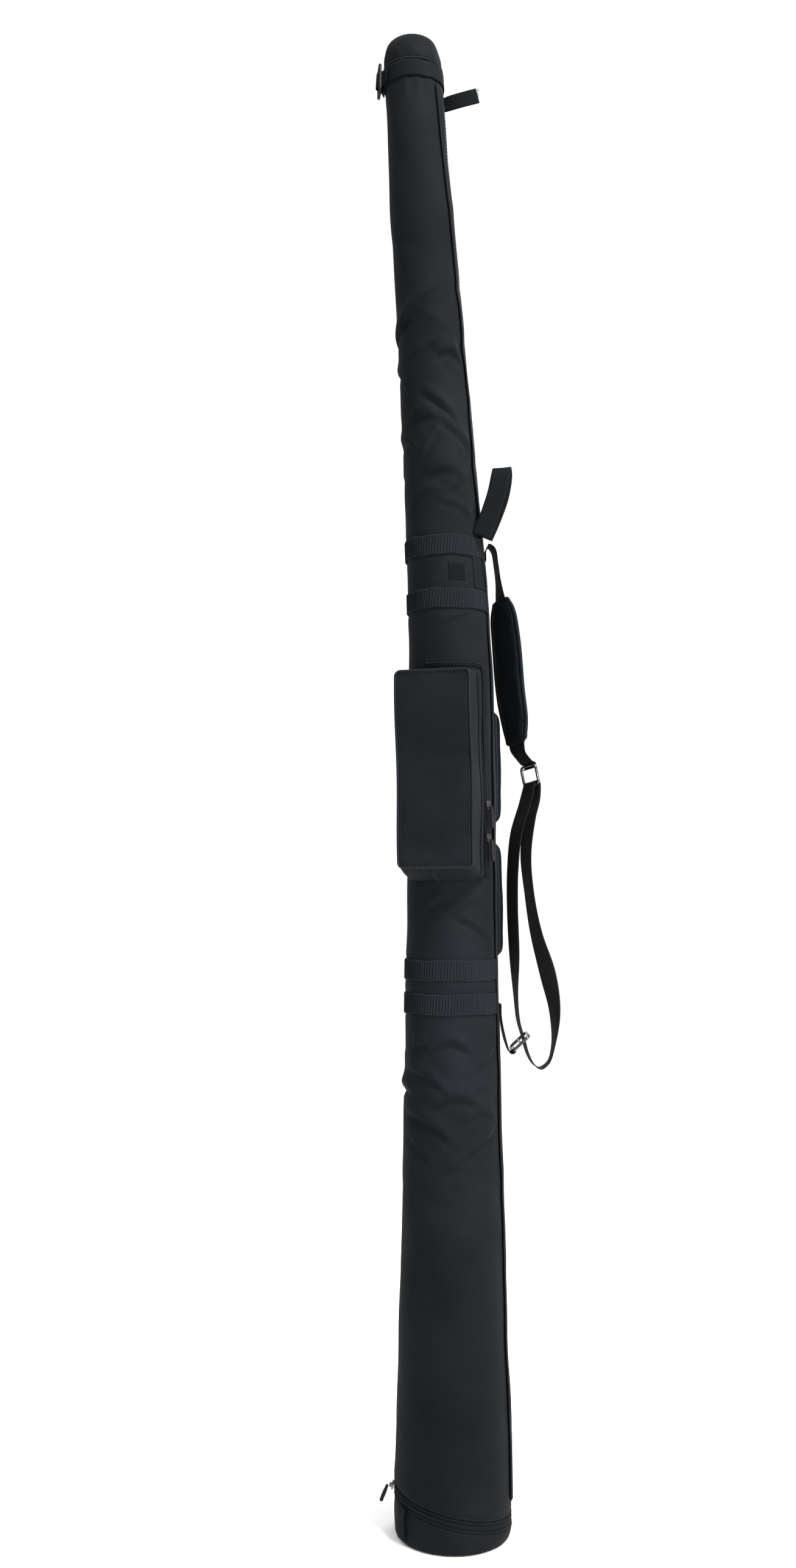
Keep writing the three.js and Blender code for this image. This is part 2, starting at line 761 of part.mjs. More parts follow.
// ---------------------------------------------------------------- back pads
function addBackPads() {
  const middleAz = 120;
  const spanAz = 54;
  const thickness = 12;
  const padHeight = 139;
  const lowest = LOWER_BANDS_Z + BAND_PITCH + BAND_H + 2;
  [lowest + padHeight + 24, lowest].forEach((bottom, i) => {
    const middle = bottom + padHeight / 2;
    const rings = range(-1, 1, 8).map((u) => {
      const az = middleAz + (u * spanAz) / 2;
      const edge = u ** 4;
      const depth = thickness * (1 - 0.55 * edge);
      const half = (padHeight / 2) * (1 - 0.07 * edge);
      return [
        proud(az, FIT, middle - half),
        proud(az, depth * 0.7, middle - half),
        proud(az, FIT + depth, middle - half + 9),
        proud(az, FIT + depth, middle),
        proud(az, FIT + depth, middle + half - 9),
        proud(az, depth * 0.7, middle + half),
        proud(az, FIT, middle + half),
        proud(az, FIT, middle),
      ];
    });
    addMesh(["back_pad_upper", "back_pad_lower"][i], loft(rings), spacerMesh);
  });
}

// ---------------------------------------------------------------- shoulder strap
// A direction made square to another one.
const squared = (direction, to) => direction.addScaledVector(to, -direction.dot(to)).normalize();

// Radius at which webbing passes round a frame's bar.
const barWrap = Math.hypot(FRAME_RAIL, FRAME_T) / 2 + FIT + WEBBING_T / 2 + 0.3;

// A strap station in the hanging strap's own plane: x out from the bag, its height, its turn.
const hung = (x, z, turn, y = 0, share = 1) => ({
  p: new THREE.Vector3(x, y, z),
  across: heading(turn),
  share,
});

function addShoulderStrap() {
  const padTurn = 30;
  const sewn = UPPER_BANDS_Z + 5;
  const face = leanAt(sewn) + radiusAt(sewn) + FIT + BAND_T + FIT + WEBBING_T / 2;
  const upper = [
    hung(face + 0.2, sewn - 2, 2, 7),
    hung(face + 0.3, sewn + 10, 2, 7),
    hung(face + 4, sewn + 17, 4, 7),
    hung(face + 10, sewn + 12, 8, 6),
    hung(57.5, 1160, 8, 4),
    hung(59.8, 1140, 10, 3),
    hung(62.2, 1117.6, 22, 2),
  ];
  addMesh("strap_upper_webbing", strap(upper, STRAP_W, WEBBING_T, 26), webbing);

  const pad = [
    hung(62.5, 1118 - FIT - 1, padTurn, 0, 0.5),
    hung(65, 1100, padTurn, 0, 0.85),
    hung(69, 1063, padTurn, 0, 1),
    hung(74, 999, padTurn, -2, 1),
    hung(79, 962, padTurn, -5, 0.9),
    hung(81, 934, padTurn, -7, 0.62),
  ];
  addMesh("shoulder_pad", strap(pad, 56, 8, 18), spacerMesh);

  const ringTop = new THREE.Vector3(94, -8, 910);
  const ringDown = new THREE.Vector3(0.2, 0, -0.98).normalize();
  const ringAcross = squared(heading(padTurn), ringDown);
  const ringLength = 27;
  const ringMiddle = ringTop.clone().addScaledVector(ringDown, ringLength / 2);
  const ring = addMesh("strap_ring", barFrame(ringLength, STRAP_W + 9, 2), plastic);
  stand(ring, ringMiddle, ringDown, ringAcross);

  const upperBar = ringTop.clone().addScaledVector(ringDown, FRAME_RAIL / 2);
  const lowerBar = ringTop.clone().addScaledVector(ringDown, ringLength - FRAME_RAIL / 2);
  const ringOut = new THREE.Vector3().crossVectors(ringAcross, ringDown).negate();
  const around = (bar, degrees, share = 1) => {
    const a = THREE.MathUtils.degToRad(degrees);
    return {
      p: bar
        .clone()
        .addScaledVector(ringDown, barWrap * Math.cos(a))
        .addScaledVector(ringOut, barWrap * Math.sin(a)),
      across: ringAcross,
      share,
    };
  };
  const tongue = [
    hung(81.6, 931, padTurn, -7.2, 1.3),
    hung(86, 921, padTurn, -7.6, 1.02),
    ...range(180, 360, 4).map((degrees) => around(upperBar, degrees)),
  ];
  addMesh("strap_tongue", strap(tongue, STRAP_W, WEBBING_T, 36), webbing);

  const loop = [
    ...range(180, 90, 2).map((degrees) => around(lowerBar, degrees)),
    hung(90.5, 862, padTurn, -8),
    hung(80, 826, 30, -6),
    hung(75.5, 780, 28, -4),
    hung(75, 735, 27, -3),
    hung(77, 679, 24, -2),
    hung(78.5, 630, 8, -1),
    hung(81.5, 598, 5, -1),
    hung(87.2, 578, 5, -1),
    hung(92, 560, 5, -1),
    hung(99, 547, 4, -1),
    hung(107, 542, 2, -1),
    hung(117, 549, 0, -1),
    hung(123, 570, 4, -2),
    hung(125, 610, 26, -3),
    hung(117, 655, 46, -4),
    hung(103, 705, 30, -5),
    hung(95, 752, 22, -6),
    hung(91, 800, 26, -7),
    hung(96, 845, padTurn, -8),
    hung(101.5, 868, padTurn, -8),
    ...range(270, 225, 1).map((degrees) => around(lowerBar, degrees)),
  ];
  addMesh("strap_webbing", strap(loop, STRAP_W, WEBBING_T, 110, true), webbing);
}

function addStrapSlider() {
  const middle = new THREE.Vector3(82.5, -1, 573.5);
  const along = new THREE.Vector3(0.731, 0, 0.682).normalize();
  const across = squared(heading(5), along);
  const length = 30;
  const frame = addMesh("strap_slider", barFrame(length, STRAP_W + 9, 3), plastic);
  stand(frame, middle, along, across);

  // Anchor webbing: sewn on the lowest band, wrapped round the slider's inner bar.
  const bar = middle.clone().addScaledVector(along, -(length - FRAME_RAIL) / 2);
  const under = new THREE.Vector3(along.z, 0, -along.x);
  const round = (degrees) => {
    const a = THREE.MathUtils.degToRad(degrees);
    const out = under.clone().multiplyScalar(barWrap * Math.sin(a));
    return { p: bar.clone().addScaledVector(along, barWrap * Math.cos(a)).add(out), across };
  };
  const bandFace = LOWER_BANDS_RADIUS + FIT + BAND_T + FIT + 0.3;
  const stations = [
    { p: new THREE.Vector3(bandFace + WEBBING_T / 2, 2, LOWER_BANDS_Z + 10), across: heading(2) },
    { p: new THREE.Vector3(bandFace + WEBBING_T / 2 + 0.8, 2, LOWER_BANDS_Z - 6), across: heading(2) },
    { p: new THREE.Vector3(bandFace + 5, 1, LOWER_BANDS_Z - 28), across: heading(4) },
    ...range(200, 20, 5).map(round),
  ];
  addMesh("strap_anchor", strap(stations, STRAP_W, WEBBING_T, 36), webbing);
}

// ---------------------------------------------------------------- instrument
function addInstrument(restsOn) {
  const foot = restsOn + FIT;
  const outer = [
    [BELL_RADIUS, foot],
    [BELL_RADIUS - 9, foot + BELL_H * 0.35],
    [TUBE_MID_RADIUS + 4, foot + BELL_H],
    [TUBE_MID_RADIUS, TUBE_MID_Z],
    [TUBE_MID_RADIUS - 2, LEAN_START],
    [TUBE_MID_RADIUS - 3, LEAN_START + LEAN_BLEND / 2],
    [TUBE_MID_RADIUS - 4, LEAN_START + LEAN_BLEND],
    [TUBE_TOP_RADIUS, TUBE_TOP_Z],
  ];
  const bore = outer.map(([r, z]) => [r - TUBE_WALL, z]);
  addMesh("didgeridoo_tube", turned([...outer, ...bore.toReversed()]), wood);

  const seat = TUBE_TOP_Z + FIT;
  const middle = TUBE_TOP_RADIUS - TUBE_WALL / 2;
  const ring = range(0, 360, 10)
    .slice(0, -1)
    .map((degrees) => {
      const a = THREE.MathUtils.degToRad(degrees);
      return [middle + WAX_T * Math.cos(a), seat + (WAX_H / 2) * (1 + Math.sin(a))];
    });
  addMesh("wax_mouthpiece", turned(ring), wax);
}

addShell();
addCap();
const lidPadTop = addBaseLid();
addSeamRing();
addLidTab();
addSideZip();
addBaseZipSlider();
addNeckTail(addNeck());
addBands();
addAnchorStrip();
addLabel();
addHangLoop();
addPocket();
addPocketZip();
addPocketSliders();
addBackPads();
addShoulderStrap();
addStrapSlider();
addInstrument(lidPadTop);

export default bag;
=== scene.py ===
import math
import random

import bpy
import numpy as np
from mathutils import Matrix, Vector


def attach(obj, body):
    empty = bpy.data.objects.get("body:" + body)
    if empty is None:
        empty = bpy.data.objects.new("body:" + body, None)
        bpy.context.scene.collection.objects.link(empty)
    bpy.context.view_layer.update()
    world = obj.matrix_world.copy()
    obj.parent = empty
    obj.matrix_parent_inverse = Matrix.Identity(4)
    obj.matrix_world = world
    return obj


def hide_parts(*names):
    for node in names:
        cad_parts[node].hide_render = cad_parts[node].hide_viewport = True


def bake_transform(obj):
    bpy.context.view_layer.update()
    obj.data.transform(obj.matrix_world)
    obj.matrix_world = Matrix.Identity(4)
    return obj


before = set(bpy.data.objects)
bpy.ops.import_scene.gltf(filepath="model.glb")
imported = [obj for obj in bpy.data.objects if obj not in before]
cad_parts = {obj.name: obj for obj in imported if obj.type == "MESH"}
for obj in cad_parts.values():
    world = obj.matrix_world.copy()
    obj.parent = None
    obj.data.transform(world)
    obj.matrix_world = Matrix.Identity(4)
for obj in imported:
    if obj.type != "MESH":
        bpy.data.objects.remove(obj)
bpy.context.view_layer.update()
MM = 0.001

# ------------------------------------------------------------------ camera and lights
IMAGE_H, FOCAL_PX = 2576, 2350
SENSOR_H = 36
camera = bpy.data.objects.new("camera", bpy.data.cameras.new("camera"))
camera.data.sensor_fit = "VERTICAL"
camera.data.sensor_height = SENSOR_H
camera.data.lens = FOCAL_PX * SENSOR_H / IMAGE_H
camera.location = (-0.0648, -1.755, 0.752)
camera.rotation_euler = (math.radians(94.4), 0, 0)
bpy.context.scene.collection.objects.link(camera)
bpy.context.scene.camera = camera


def area_light(name, place, target, size, power, colour, spread=180):
    """A rectangular light; the spread is in degrees."""
    light = bpy.data.objects.new(name, bpy.data.lights.new(name, "AREA"))
    light.data.shape = "RECTANGLE"
    light.data.size, light.data.size_y = size
    light.data.energy = power
    light.data.color = colour
    light.data.spread = math.radians(spread)
    light.location = place
    direction = Vector(target) - Vector(place)
    light.rotation_euler = direction.to_track_quat("-Z", "Y").to_euler()
    bpy.context.scene.collection.objects.link(light)


area_light("key", (1.2, -1.4, 3.1), (0, 0, 1.05), (0.7, 1.1), 215, (1.0, 0.95, 0.88))
area_light("middle", (1.0, -1.45, 0.95), (0, 0, 0.72), (0.4, 0.5), 7, (1.0, 0.96, 0.92), spread=60)
area_light("fill", (-1.8, -1.6, 1.6), (0, 0, 0.9), (0.8, 1.8), 4, (0.6, 0.8, 1.0))
area_light("rim", (1.0, 1.6, 2.1), (0, 0, 1.1), (0.8, 1.6), 22, (1.0, 0.98, 0.95))

world = bpy.data.worlds.new("studio")
world.use_nodes = True
world.node_tree.nodes["Background"].inputs["Color"].default_value = (1, 1, 1, 1)
world.node_tree.nodes["Background"].inputs["Strength"].default_value = 1.06
bpy.context.scene.world = world
bpy.context.scene.view_settings.view_transform = "Standard"

# ------------------------------------------------------------------ materials


class Nodes:
    """A short way to write a material's node tree."""

    def __init__(self, name):
        self.material = bpy.data.materials.new(name)
        self.material.use_nodes = True
        self.tree = self.material.node_tree
        self.shader = self.tree.nodes["Principled BSDF"]
        coordinates = self.add("TexCoord")
        self.uv, self.place = coordinates.outputs["UV"], coordinates.outputs["Object"]

    def add(self, kind, settings=None, **inputs):
        node = self.tree.nodes.new("ShaderNode" + kind)
        for key, value in (settings or {}).items():
            setattr(node, key, value)
        for key, value in inputs.items():
            self.put(node, key.replace("_", " "), value)
        return node

    def put(self, node, key, value):
        if isinstance(value, bpy.types.Node):
            value = value.outputs[0]
        if isinstance(value, bpy.types.NodeSocket):
            self.tree.links.new(value, node.inputs[key])
        else:
            node.inputs[key].default_value = value

    def math(self, operation, *values):
        node = self.add("Math", {"operation": operation})
        for k, value in enumerate(values):
            self.put(node, k, value)
        return node

    def mix(self, factor, a, b):
        node = self.add("Mix", {"data_type": "RGBA"})
        for k, value in ((0, factor), (6, a), (7, b)):
            self.put(node, k, value)
        return node.outputs[2]

    def noise(self, scale, detail, vector=None, **more):
        node = self.add("TexNoise", None, Vector=vector or self.place, Scale=scale, Detail=detail, **more)
        return node.outputs["Fac"]

    def bands(self, direction, period, distortion=0.0):
        """Fine sine bands across a UV map that is in metres; the period is in mm."""
        scale = 314.16 / period
        wave = self.add(
            "TexWave", {"bands_direction": direction}, Vector=self.uv, Scale=scale, Distortion=distortion
        )
        return wave.outputs["Fac"]

    def ramp(self, value, low, high):
        return self.add("MapRange", None, Value=value, From_Min=low, From_Max=high)

    def set(self, key, value):
        self.put(self.shader, key, value)

    def rough(self, value, low, high):
        self.set("Roughness", self.add("MapRange", None, Value=value, To_Min=low, To_Max=high))

    def bump(self, height, strength, distance):
        self.set("Normal", self.add("Bump", None, Height=height, Strength=strength, Distance=distance))


def shade(rgb, k):
    return (*[min(c * k, 1) for c in rgb], 1)


def cloth(name, rgb, period, rough, bump, sheen, kind="plain"):
    """Woven stuff: fine weave by UV with a period in mm, uneven tone, lint, and a painted highlight on the weave's
    raised threads.
    """
    n = Nodes(name)
    if kind == "webbing":
        height = n.math("MULTIPLY_ADD", n.bands("X", 2.6), 0.6, n.math("MULTIPLY", n.bands("Y", 1.1), 0.5))
    elif kind == "mesh":
        cells = n.add("TexVoronoi", {"feature": "DISTANCE_TO_EDGE"}, Vector=n.uv, Scale=1000 / period)
        height = n.add("MapRange", None, Value=cells.outputs["Distance"], From_Max=0.18)
    else:
        height = n.math("MULTIPLY", n.bands("X", period, 0.15), n.bands("Y", period, 0.15))
    small = n.noise(240.0, 2.0)
    mottled = n.mix(n.ramp(n.noise(9.0, 3.0), 0.3, 0.7), shade(rgb, 0.65), shade(rgb, 1.35))
    # painted highlight: the weave's raised threads are painted lighter, towards 1.9 times the tone, by their height
    thread = n.mix(n.math("MULTIPLY", height, 0.55), mottled, shade(rgb, 1.9))
    lint = n.math("MULTIPLY", n.ramp(n.noise(900.0, 1.0), 0.68, 0.82), 0.1)
    n.set("Base Color", n.mix(lint, thread, (0.06, 0.06, 0.06, 1)))
    n.rough(small, rough - 0.1, rough + 0.12)
    n.bump(n.math("MULTIPLY_ADD", small, 0.35, height), bump, 0.0004)
    n.set("Sheen Weight", sheen * 0.15)
    n.set("Sheen Tint", (0.5, 0.52, 0.55, 1))
    n.set("Sheen Roughness", 0.45)
    n.set("Specular IOR Level", 0.03)
    return n.material


def plastic(name, rgb, rough, grain=600.0, bump=0.1, coat=0.0):
    n = Nodes(name)
    wear = n.noise(70.0, 4.0)
    n.set("Base Color", n.mix(n.ramp(wear, 0.55, 0.75), shade(rgb, 1), shade(rgb, 1.8)))
    n.rough(wear, rough * 0.7, rough * 1.5)
    n.bump(n.noise(grain, 2.0), bump, 0.0002)
    n.set("Coat Weight", coat)
    n.set("Specular IOR Level", 0.5 if coat else 0.15)
    return n.material


def metal(name, rgb, rough):
    n = Nodes(name)
    scratch = n.noise(420.0, 5.0)
    n.set("Base Color", n.mix(n.ramp(scratch, 0.35, 0.7), shade(rgb, 0.6), shade(rgb, 1.2)))
    n.rough(scratch, rough, rough + 0.3)
    n.bump(scratch, 0.15, 0.0002)
    n.set("Metallic", 1.0)
    return n.material


def wood(name):
    n = Nodes(name)
    stretch = n.add("Mapping", None, Vector=n.place, Scale=(30, 30, 2.2))
    grain = n.noise(6.0, 8.0, stretch, Distortion=0.6)
    pores = n.noise(60.0, 3.0, stretch)
    tone = n.mix(n.ramp(grain, 0.35, 0.68), (0.17, 0.08, 0.035, 1), (0.42, 0.24, 0.11, 1))
    n.set("Base Color", n.mix(n.ramp(pores, 0.62, 0.8), tone, (0.06, 0.03, 0.015, 1)))
    n.rough(grain, 0.35, 0.6)
    n.bump(pores, 0.3, 0.0005)
    return n.material


def wax(name):
    n = Nodes(name)
    lumps = n.noise(90.0, 3.0)
    n.set("Base Color", n.mix(lumps, (0.30, 0.16, 0.04, 1), (0.55, 0.36, 0.12, 1)))
    n.set("Roughness", 0.42)
    n.set("Subsurface Weight", 0.15)
    n.bump(lumps, 0.4, 0.001)
    return n.material


NAVY = (0.0036, 0.0046, 0.0058)


def navy(k):
    return tuple(c * k for c in NAVY)


MAT = {
    "cloth": cloth("woven_nylon", NAVY, 0.95, 0.72, 0.45, 0.16),
    # painted shade: a darker copy of the woven nylon for sheets set in recesses, the lid hinge between the pipings and
    # the inner pocket zip flap by the sleeve
    "shaded_cloth": cloth("woven_nylon_painted_shade", navy(0.75), 0.9, 0.8, 0.4, 0.1),
    "ribbed": cloth("ribbed_tape", navy(1.15), 0.9, 0.75, 0.4, 0.2, "webbing"),
    "webbing": cloth("webbing", navy(0.8), 0.9, 0.72, 0.6, 0.15, "webbing"),
    "worn_webbing": cloth("worn_webbing", (0.0050, 0.0047, 0.0047), 0.9, 0.7, 0.6, 0.25, "webbing"),
    "mesh": cloth("spacer_mesh", navy(0.5), 2.4, 0.9, 0.9, 0.06, "mesh"),
    "binding": cloth("binding_tape", navy(1.5), 0.8, 0.75, 0.4, 0.3),
    "zip": cloth("zip_tape", navy(0.8), 0.7, 0.7, 0.4, 0.05),
    "thread": plastic("thread", (0.007, 0.0075, 0.009), 0.7, grain=2000, bump=0.3),
    "coil": plastic("zip_coil", (0.005, 0.005, 0.0055), 0.35, bump=0.05),
    "foam": cloth("foam", (0.10, 0.105, 0.115), 1.6, 0.95, 0.8, 0.0, "mesh"),
    "gloss": plastic("moulded_plastic", (0.005, 0.005, 0.006), 0.2, bump=0.04, coat=0.2),
    "matt": plastic("matt_moulded_plastic", (0.004, 0.004, 0.0048), 0.5, bump=0.15),
    "puller": plastic("puller_plastic", (0.006, 0.006, 0.007), 0.45, bump=0.2),
    "metal": metal("plated_zinc", (0.16, 0.16, 0.165), 0.3),
    "wood": wood("hardwood"),
    "wax": wax("beeswax"),
    "label": cloth("woven_label", navy(0.45), 0.6, 0.7, 0.4, 0.2),
}

# ------------------------------------------------------------------ the bag's shape, in mm, as in the CAD
GIRTH_Z = [0, 90, 230, 609, 1023, 1163, 1415, 1700, 1850]
GIRTH_R = [68.5, 68.5, 63.8, 55, 50.6, 46.8, 41, 36.6, 36.6]
BASE_RADIUS, NECK_RADIUS = 68.5, 36.6
SEAM_Z, SEAM_TILT = 36, 0.22
LEAN_SLOPE = 0.062  # how far the upper part leans to -X for each mm up
SEAM_GAP = 4.6  # from the middle of the bottom zip to the sleeve's and the lid's edges
CAP_SEAM_Z, BAG_HEIGHT = 1798, 1850
BAND_H = 25
BAND_BOTTOMS = (1163, 1097, 649, 609)
SIDE_ZIP_Z = (44.5, 1769)
FIT, BAND_T, WEBBING_T = 0.4, 1.8, 1.4  # clearance between layers, and how thick bands and webbing are
RAIL, RAIL_T = 3.2, 3.8  # a buckle's bars
STRAP_W, TAIL_W = 25, 20
NECK_BAND_Z = 1785
rng = random.Random(7)


def radius(z):
    z = np.asarray(z, float)
    return sum(np.interp(z + d, GIRTH_Z, GIRTH_R) for d in (-20, -10, 0, 10, 20)) / 5


def lean(z):
    above = np.clip(np.asarray(z, float) - 980, 0, None)
    return np.where(above < 160, -LEAN_SLOPE * above * above / 320, -LEAN_SLOPE * (above - 80))


def on(az, r, z):
    a = np.radians(az)
    return np.stack(np.broadcast_arrays(r * np.sin(a) + lean(z), -r * np.cos(a), z * 1.0), -1)


def over_seam(az, r, dz):
    p = on(np.asarray(az, float), r, SEAM_Z)
    p[..., 2] = SEAM_Z - SEAM_TILT * p[..., 0] + dz
    return p


def side_zip_az(z):
    t = np.clip((np.asarray(z, float) - 1450) / (CAP_SEAM_Z - 1450), 0, 1)
    return 79 - 25 * t


# Folds of the sleeve: (degrees from the front, height, slant in degrees, half length, half width, depth)
FOLDS = [
    (38, 1492, 42, 34, 9, -2.4), (12, 1462, -38, 30, 8, 1.6), (48, 1420, 50, 30, 8, -2.2),
    (20, 1405, -50, 34, 9, -1.7), (2, 1368, 40, 36, 10, 1.6), (40, 1352, 36, 26, 8, 1.5),
    (-8, 1318, -44, 34, 9, -1.9), (22, 1292, 46, 38, 9, 1.8), (50, 1270, 40, 26, 7, -1.9),
    (8, 1248, -36, 34, 8, -1.8), (30, 1222, 42, 30, 8, 1.6), (-22, 1236, 30, 28, 9, 1.4),
    (-30, 1420, 25, 40, 12, 1.2), (-36, 1560, -20, 40, 12, -1.1), (30, 1600, 30, 40, 12, 1.0),
    (10, 716, 30, 40, 9, -1.8), (36, 728, -28, 30, 8, 1.4), (-28, 712, 24, 30, 8, 1.4),
    (18, 560, -40, 44, 12, -2.4), (-20, 545, 36, 40, 12, 1.8), (34, 512, 44, 44, 11, 2.0),
    (4, 486, -34, 46, 13, -2.2), (-34, 470, 30, 44, 13, -1.6), (26, 440, -46, 46, 12, -2.4),
    (-6, 418, 40, 46, 12, 1.9), (42, 396, 40, 40, 12, 1.6), (14, 372, -30, 50, 13, -1.8),
    (-26, 360, 36, 46, 13, 1.5), (30, 300, 30, 55, 16, 1.2), (-10, 250, -30, 60, 16, -1.2),
    (150, 540, 40, 50, 13, -1.8), (200, 470, -36, 50, 14, 1.8), (235, 380, 34, 50, 14, -1.8),
    (170, 1300, 36, 40, 11, -1.6), (215, 1380, -36, 40, 11, 1.6), (250, 1260, 30, 40, 11, -1.4),
    (190, 900, 30, 50, 14, 1.4), (240, 980, -30, 50, 14, -1.4), (285, 820, 30, 50, 14, 1.2),
]

# Arched creases: (degrees from the front, height of the apex, half span, drop to its ends, slant, width, depth)
ARCHES = [
    (-7, 577, 24, 9, 0.0, 7, 2.0), (-44, 575, 12, 5, 0.0, 6, 1.6), (-38, 538, 30, 9, -0.35, 7, 2.1),
    (35, 548, 26, 2, 0.75, 7, 1.9), (32, 523, 16, 5, 0.2, 6, 1.5), (0, 513, 33, 12, 0.0, 8, 2.4),
    (37, 494, 24, 10, 0.0, 7, 2.2), (-36, 484, 36, 9, -0.45, 8, 2.3), (25, 452, 32, 1, 0.62, 8, 1.8),
    (-46, 452, 18, 1, -0.7, 7, 1.2), (-10, 430, 30, 6, 0.25, 10, 1.1), (20, 610, 18, 4, 0.2, 6, 0.8),
    (12, 735, 22, 5, 0.5, 7, 1.4), (-20, 742, 16, 4, 0.3, 6, 1.2), (30, 712, 26, 3, -0.6, 7, 1.5),
    (-25, 1478, 26, 2, 0.9, 9, 1.9), (30, 1420, 20, 10, 0.0, 8, 1.9), (-12, 1422, 14, 1, 0.8, 7, 1.6),
    (6, 1352, 20, 4, -0.8, 8, 1.9), (-24, 1338, 16, 5, 0.1, 8, 1.6), (-14, 1300, 14, 1, 1.2, 7, 1.7),
    (34, 1316, 22, 2, -0.7, 8, 1.6), (2, 1268, 24, 6, 0.1, 9, 1.9), (36, 1256, 20, 3, 0.7, 8, 1.5),
    (-30, 1238, 18, 3, 0.5, 8, 1.2), (20, 1224, 20, 3, -0.4, 7, 1.2), (8, 1085, 26, 4, 0.4, 6, 1.0),
    (150, 560, 26, 8, 0.0, 8, 1.9), (190, 530, 28, 8, 0.3, 8, 1.9), (235, 560, 28, 8, -0.2, 8, 1.9),
    (170, 480, 30, 9, -0.3, 8, 1.9), (215, 470, 28, 8, 0.2, 8, 1.8), (270, 520, 28, 8, 0.2, 8, 1.9),
    (160, 1390, 20, 6, 0.3, 8, 1.6), (205, 1340, 22, 6, -0.4, 8, 1.6), (250, 1400, 20, 6, 0.3, 8, 1.6),
    (230, 1270, 22, 6, 0.2, 8, 1.5), (290, 1310, 20, 6, -0.3, 8, 1.5), (280, 1450, 22, 3, 0.6, 9, 1.5),
]


def fold(az, z):
    """How far the cloth stands in or out at a point, in mm."""
    az, z = np.broadcast_arrays(np.asarray(az, float), np.asarray(z, float))
    out = np.zeros(az.shape)
    r = radius(z)

    def arc(a0):
        return np.radians((az - a0 + 180) % 360 - 180) * r

    for a0, z0, slant, length, width, depth in FOLDS:
        s = arc(a0)
        dz = z - z0
        c, k = math.cos(math.radians(slant)), math.sin(math.radians(slant))
        along, cross = s * c + dz * k, -s * k + dz * c
        sharp = np.exp(-np.abs(cross / width) ** 1.6 - (along / length) ** 2)
        out += 0.9 * depth * sharp * (1 - 0.45 * np.tanh(cross / width))
    for a0, z0, half, drop, slant, width, depth in ARCHES:
        s = arc(a0)
        q = (z - (z0 - drop * (s / half) ** 2 + slant * s)) / width
        crease = np.exp(-(((q - 0.9) / 1.3) ** 2)) - 1.15 * np.exp(-(((q + 0.45) / 0.6) ** 2))
        out += (1.85 if abs(a0) < 35 or a0 > 90 else 1.3) * depth * crease * np.exp(-((s / half) ** 4))
    a = np.radians(az)
    out += 0.55 * np.sin(z / 37 + 1.7 * np.sin(a)) * np.sin(2 * a + z / 210)
    out += 0.35 * np.sin(z / 16 + 3 * a) * np.sin(a * 3 + z / 90 + 1)
    out += 2.2 * np.exp(-(((az - 275) / 45) ** 2) - ((z - 1600) / 130) ** 2)
    hold = np.ones(az.shape)
    for bottom in BAND_BOTTOMS:
        hold *= 1 - np.exp(-(((z - bottom - BAND_H / 2) / 19) ** 4))
    hold *= 1 - np.exp(-(((z - CAP_SEAM_Z) / 26) ** 2))
    hold *= 1 - np.exp(-(((z - NECK_BAND_Z) / 20) ** 2))
    hold *= 1 - np.exp(-(((z - SEAM_Z) / 40) ** 2))
    return out * hold


def proud(az, dr, z):
    return on(az, radius(z) + fold(az, z) + dr, z)


def outward(az):
    a = np.radians(np.asarray(az, float))
    return np.stack([np.sin(a), -np.cos(a), np.zeros_like(a)], -1)


def unit(v):
    v = np.asarray(v, float)
    return v / np.linalg.norm(v, axis=-1, keepdims=True)


def run_of(path):
    """The distance along a path at each of its points."""
    return np.concatenate([[0], np.cumsum(np.linalg.norm(np.diff(path, axis=0), axis=1))])


def at_run(at, run, values):
    return np.stack([np.interp(at, run, values[:, k]) for k in range(3)], -1)


# ------------------------------------------------------------------ meshes
def ring_faces(base, rings, sides, closed=False):
    """Quads between rings of points, each ring with the same number of sides."""
    faces = []
    for i in range(rings if closed else rings - 1):
        a, b = base + i * sides, base + (i + 1) % rings * sides
        for k in range(sides):
            k1 = (k + 1) % sides
            faces.append((a + k, a + k1, b + k1, b + k))
    return faces


def make(name, points, faces, mat, body="bag", stands_for=None, uvs=None, slot="sleeve_fabric"):
    mesh = bpy.data.meshes.new(name)
    mesh.from_pydata((np.asarray(points).reshape(-1, 3) * MM).tolist(), [], faces)
    if uvs is not None:
        layer = mesh.uv_layers.new(name="UVMap")
        layer.data.foreach_set("uv", (np.asarray(uvs) * MM).ravel())
    mesh.polygons.foreach_set("use_smooth", [True] * len(mesh.polygons))
    mesh.materials.append(MAT[mat])
    mesh.validate()
    piece = bpy.data.objects.new(name, mesh)
    bpy.context.scene.collection.objects.link(piece)
    if body:
        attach(piece, body)
    if stands_for:
        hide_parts(stands_for)
    return piece


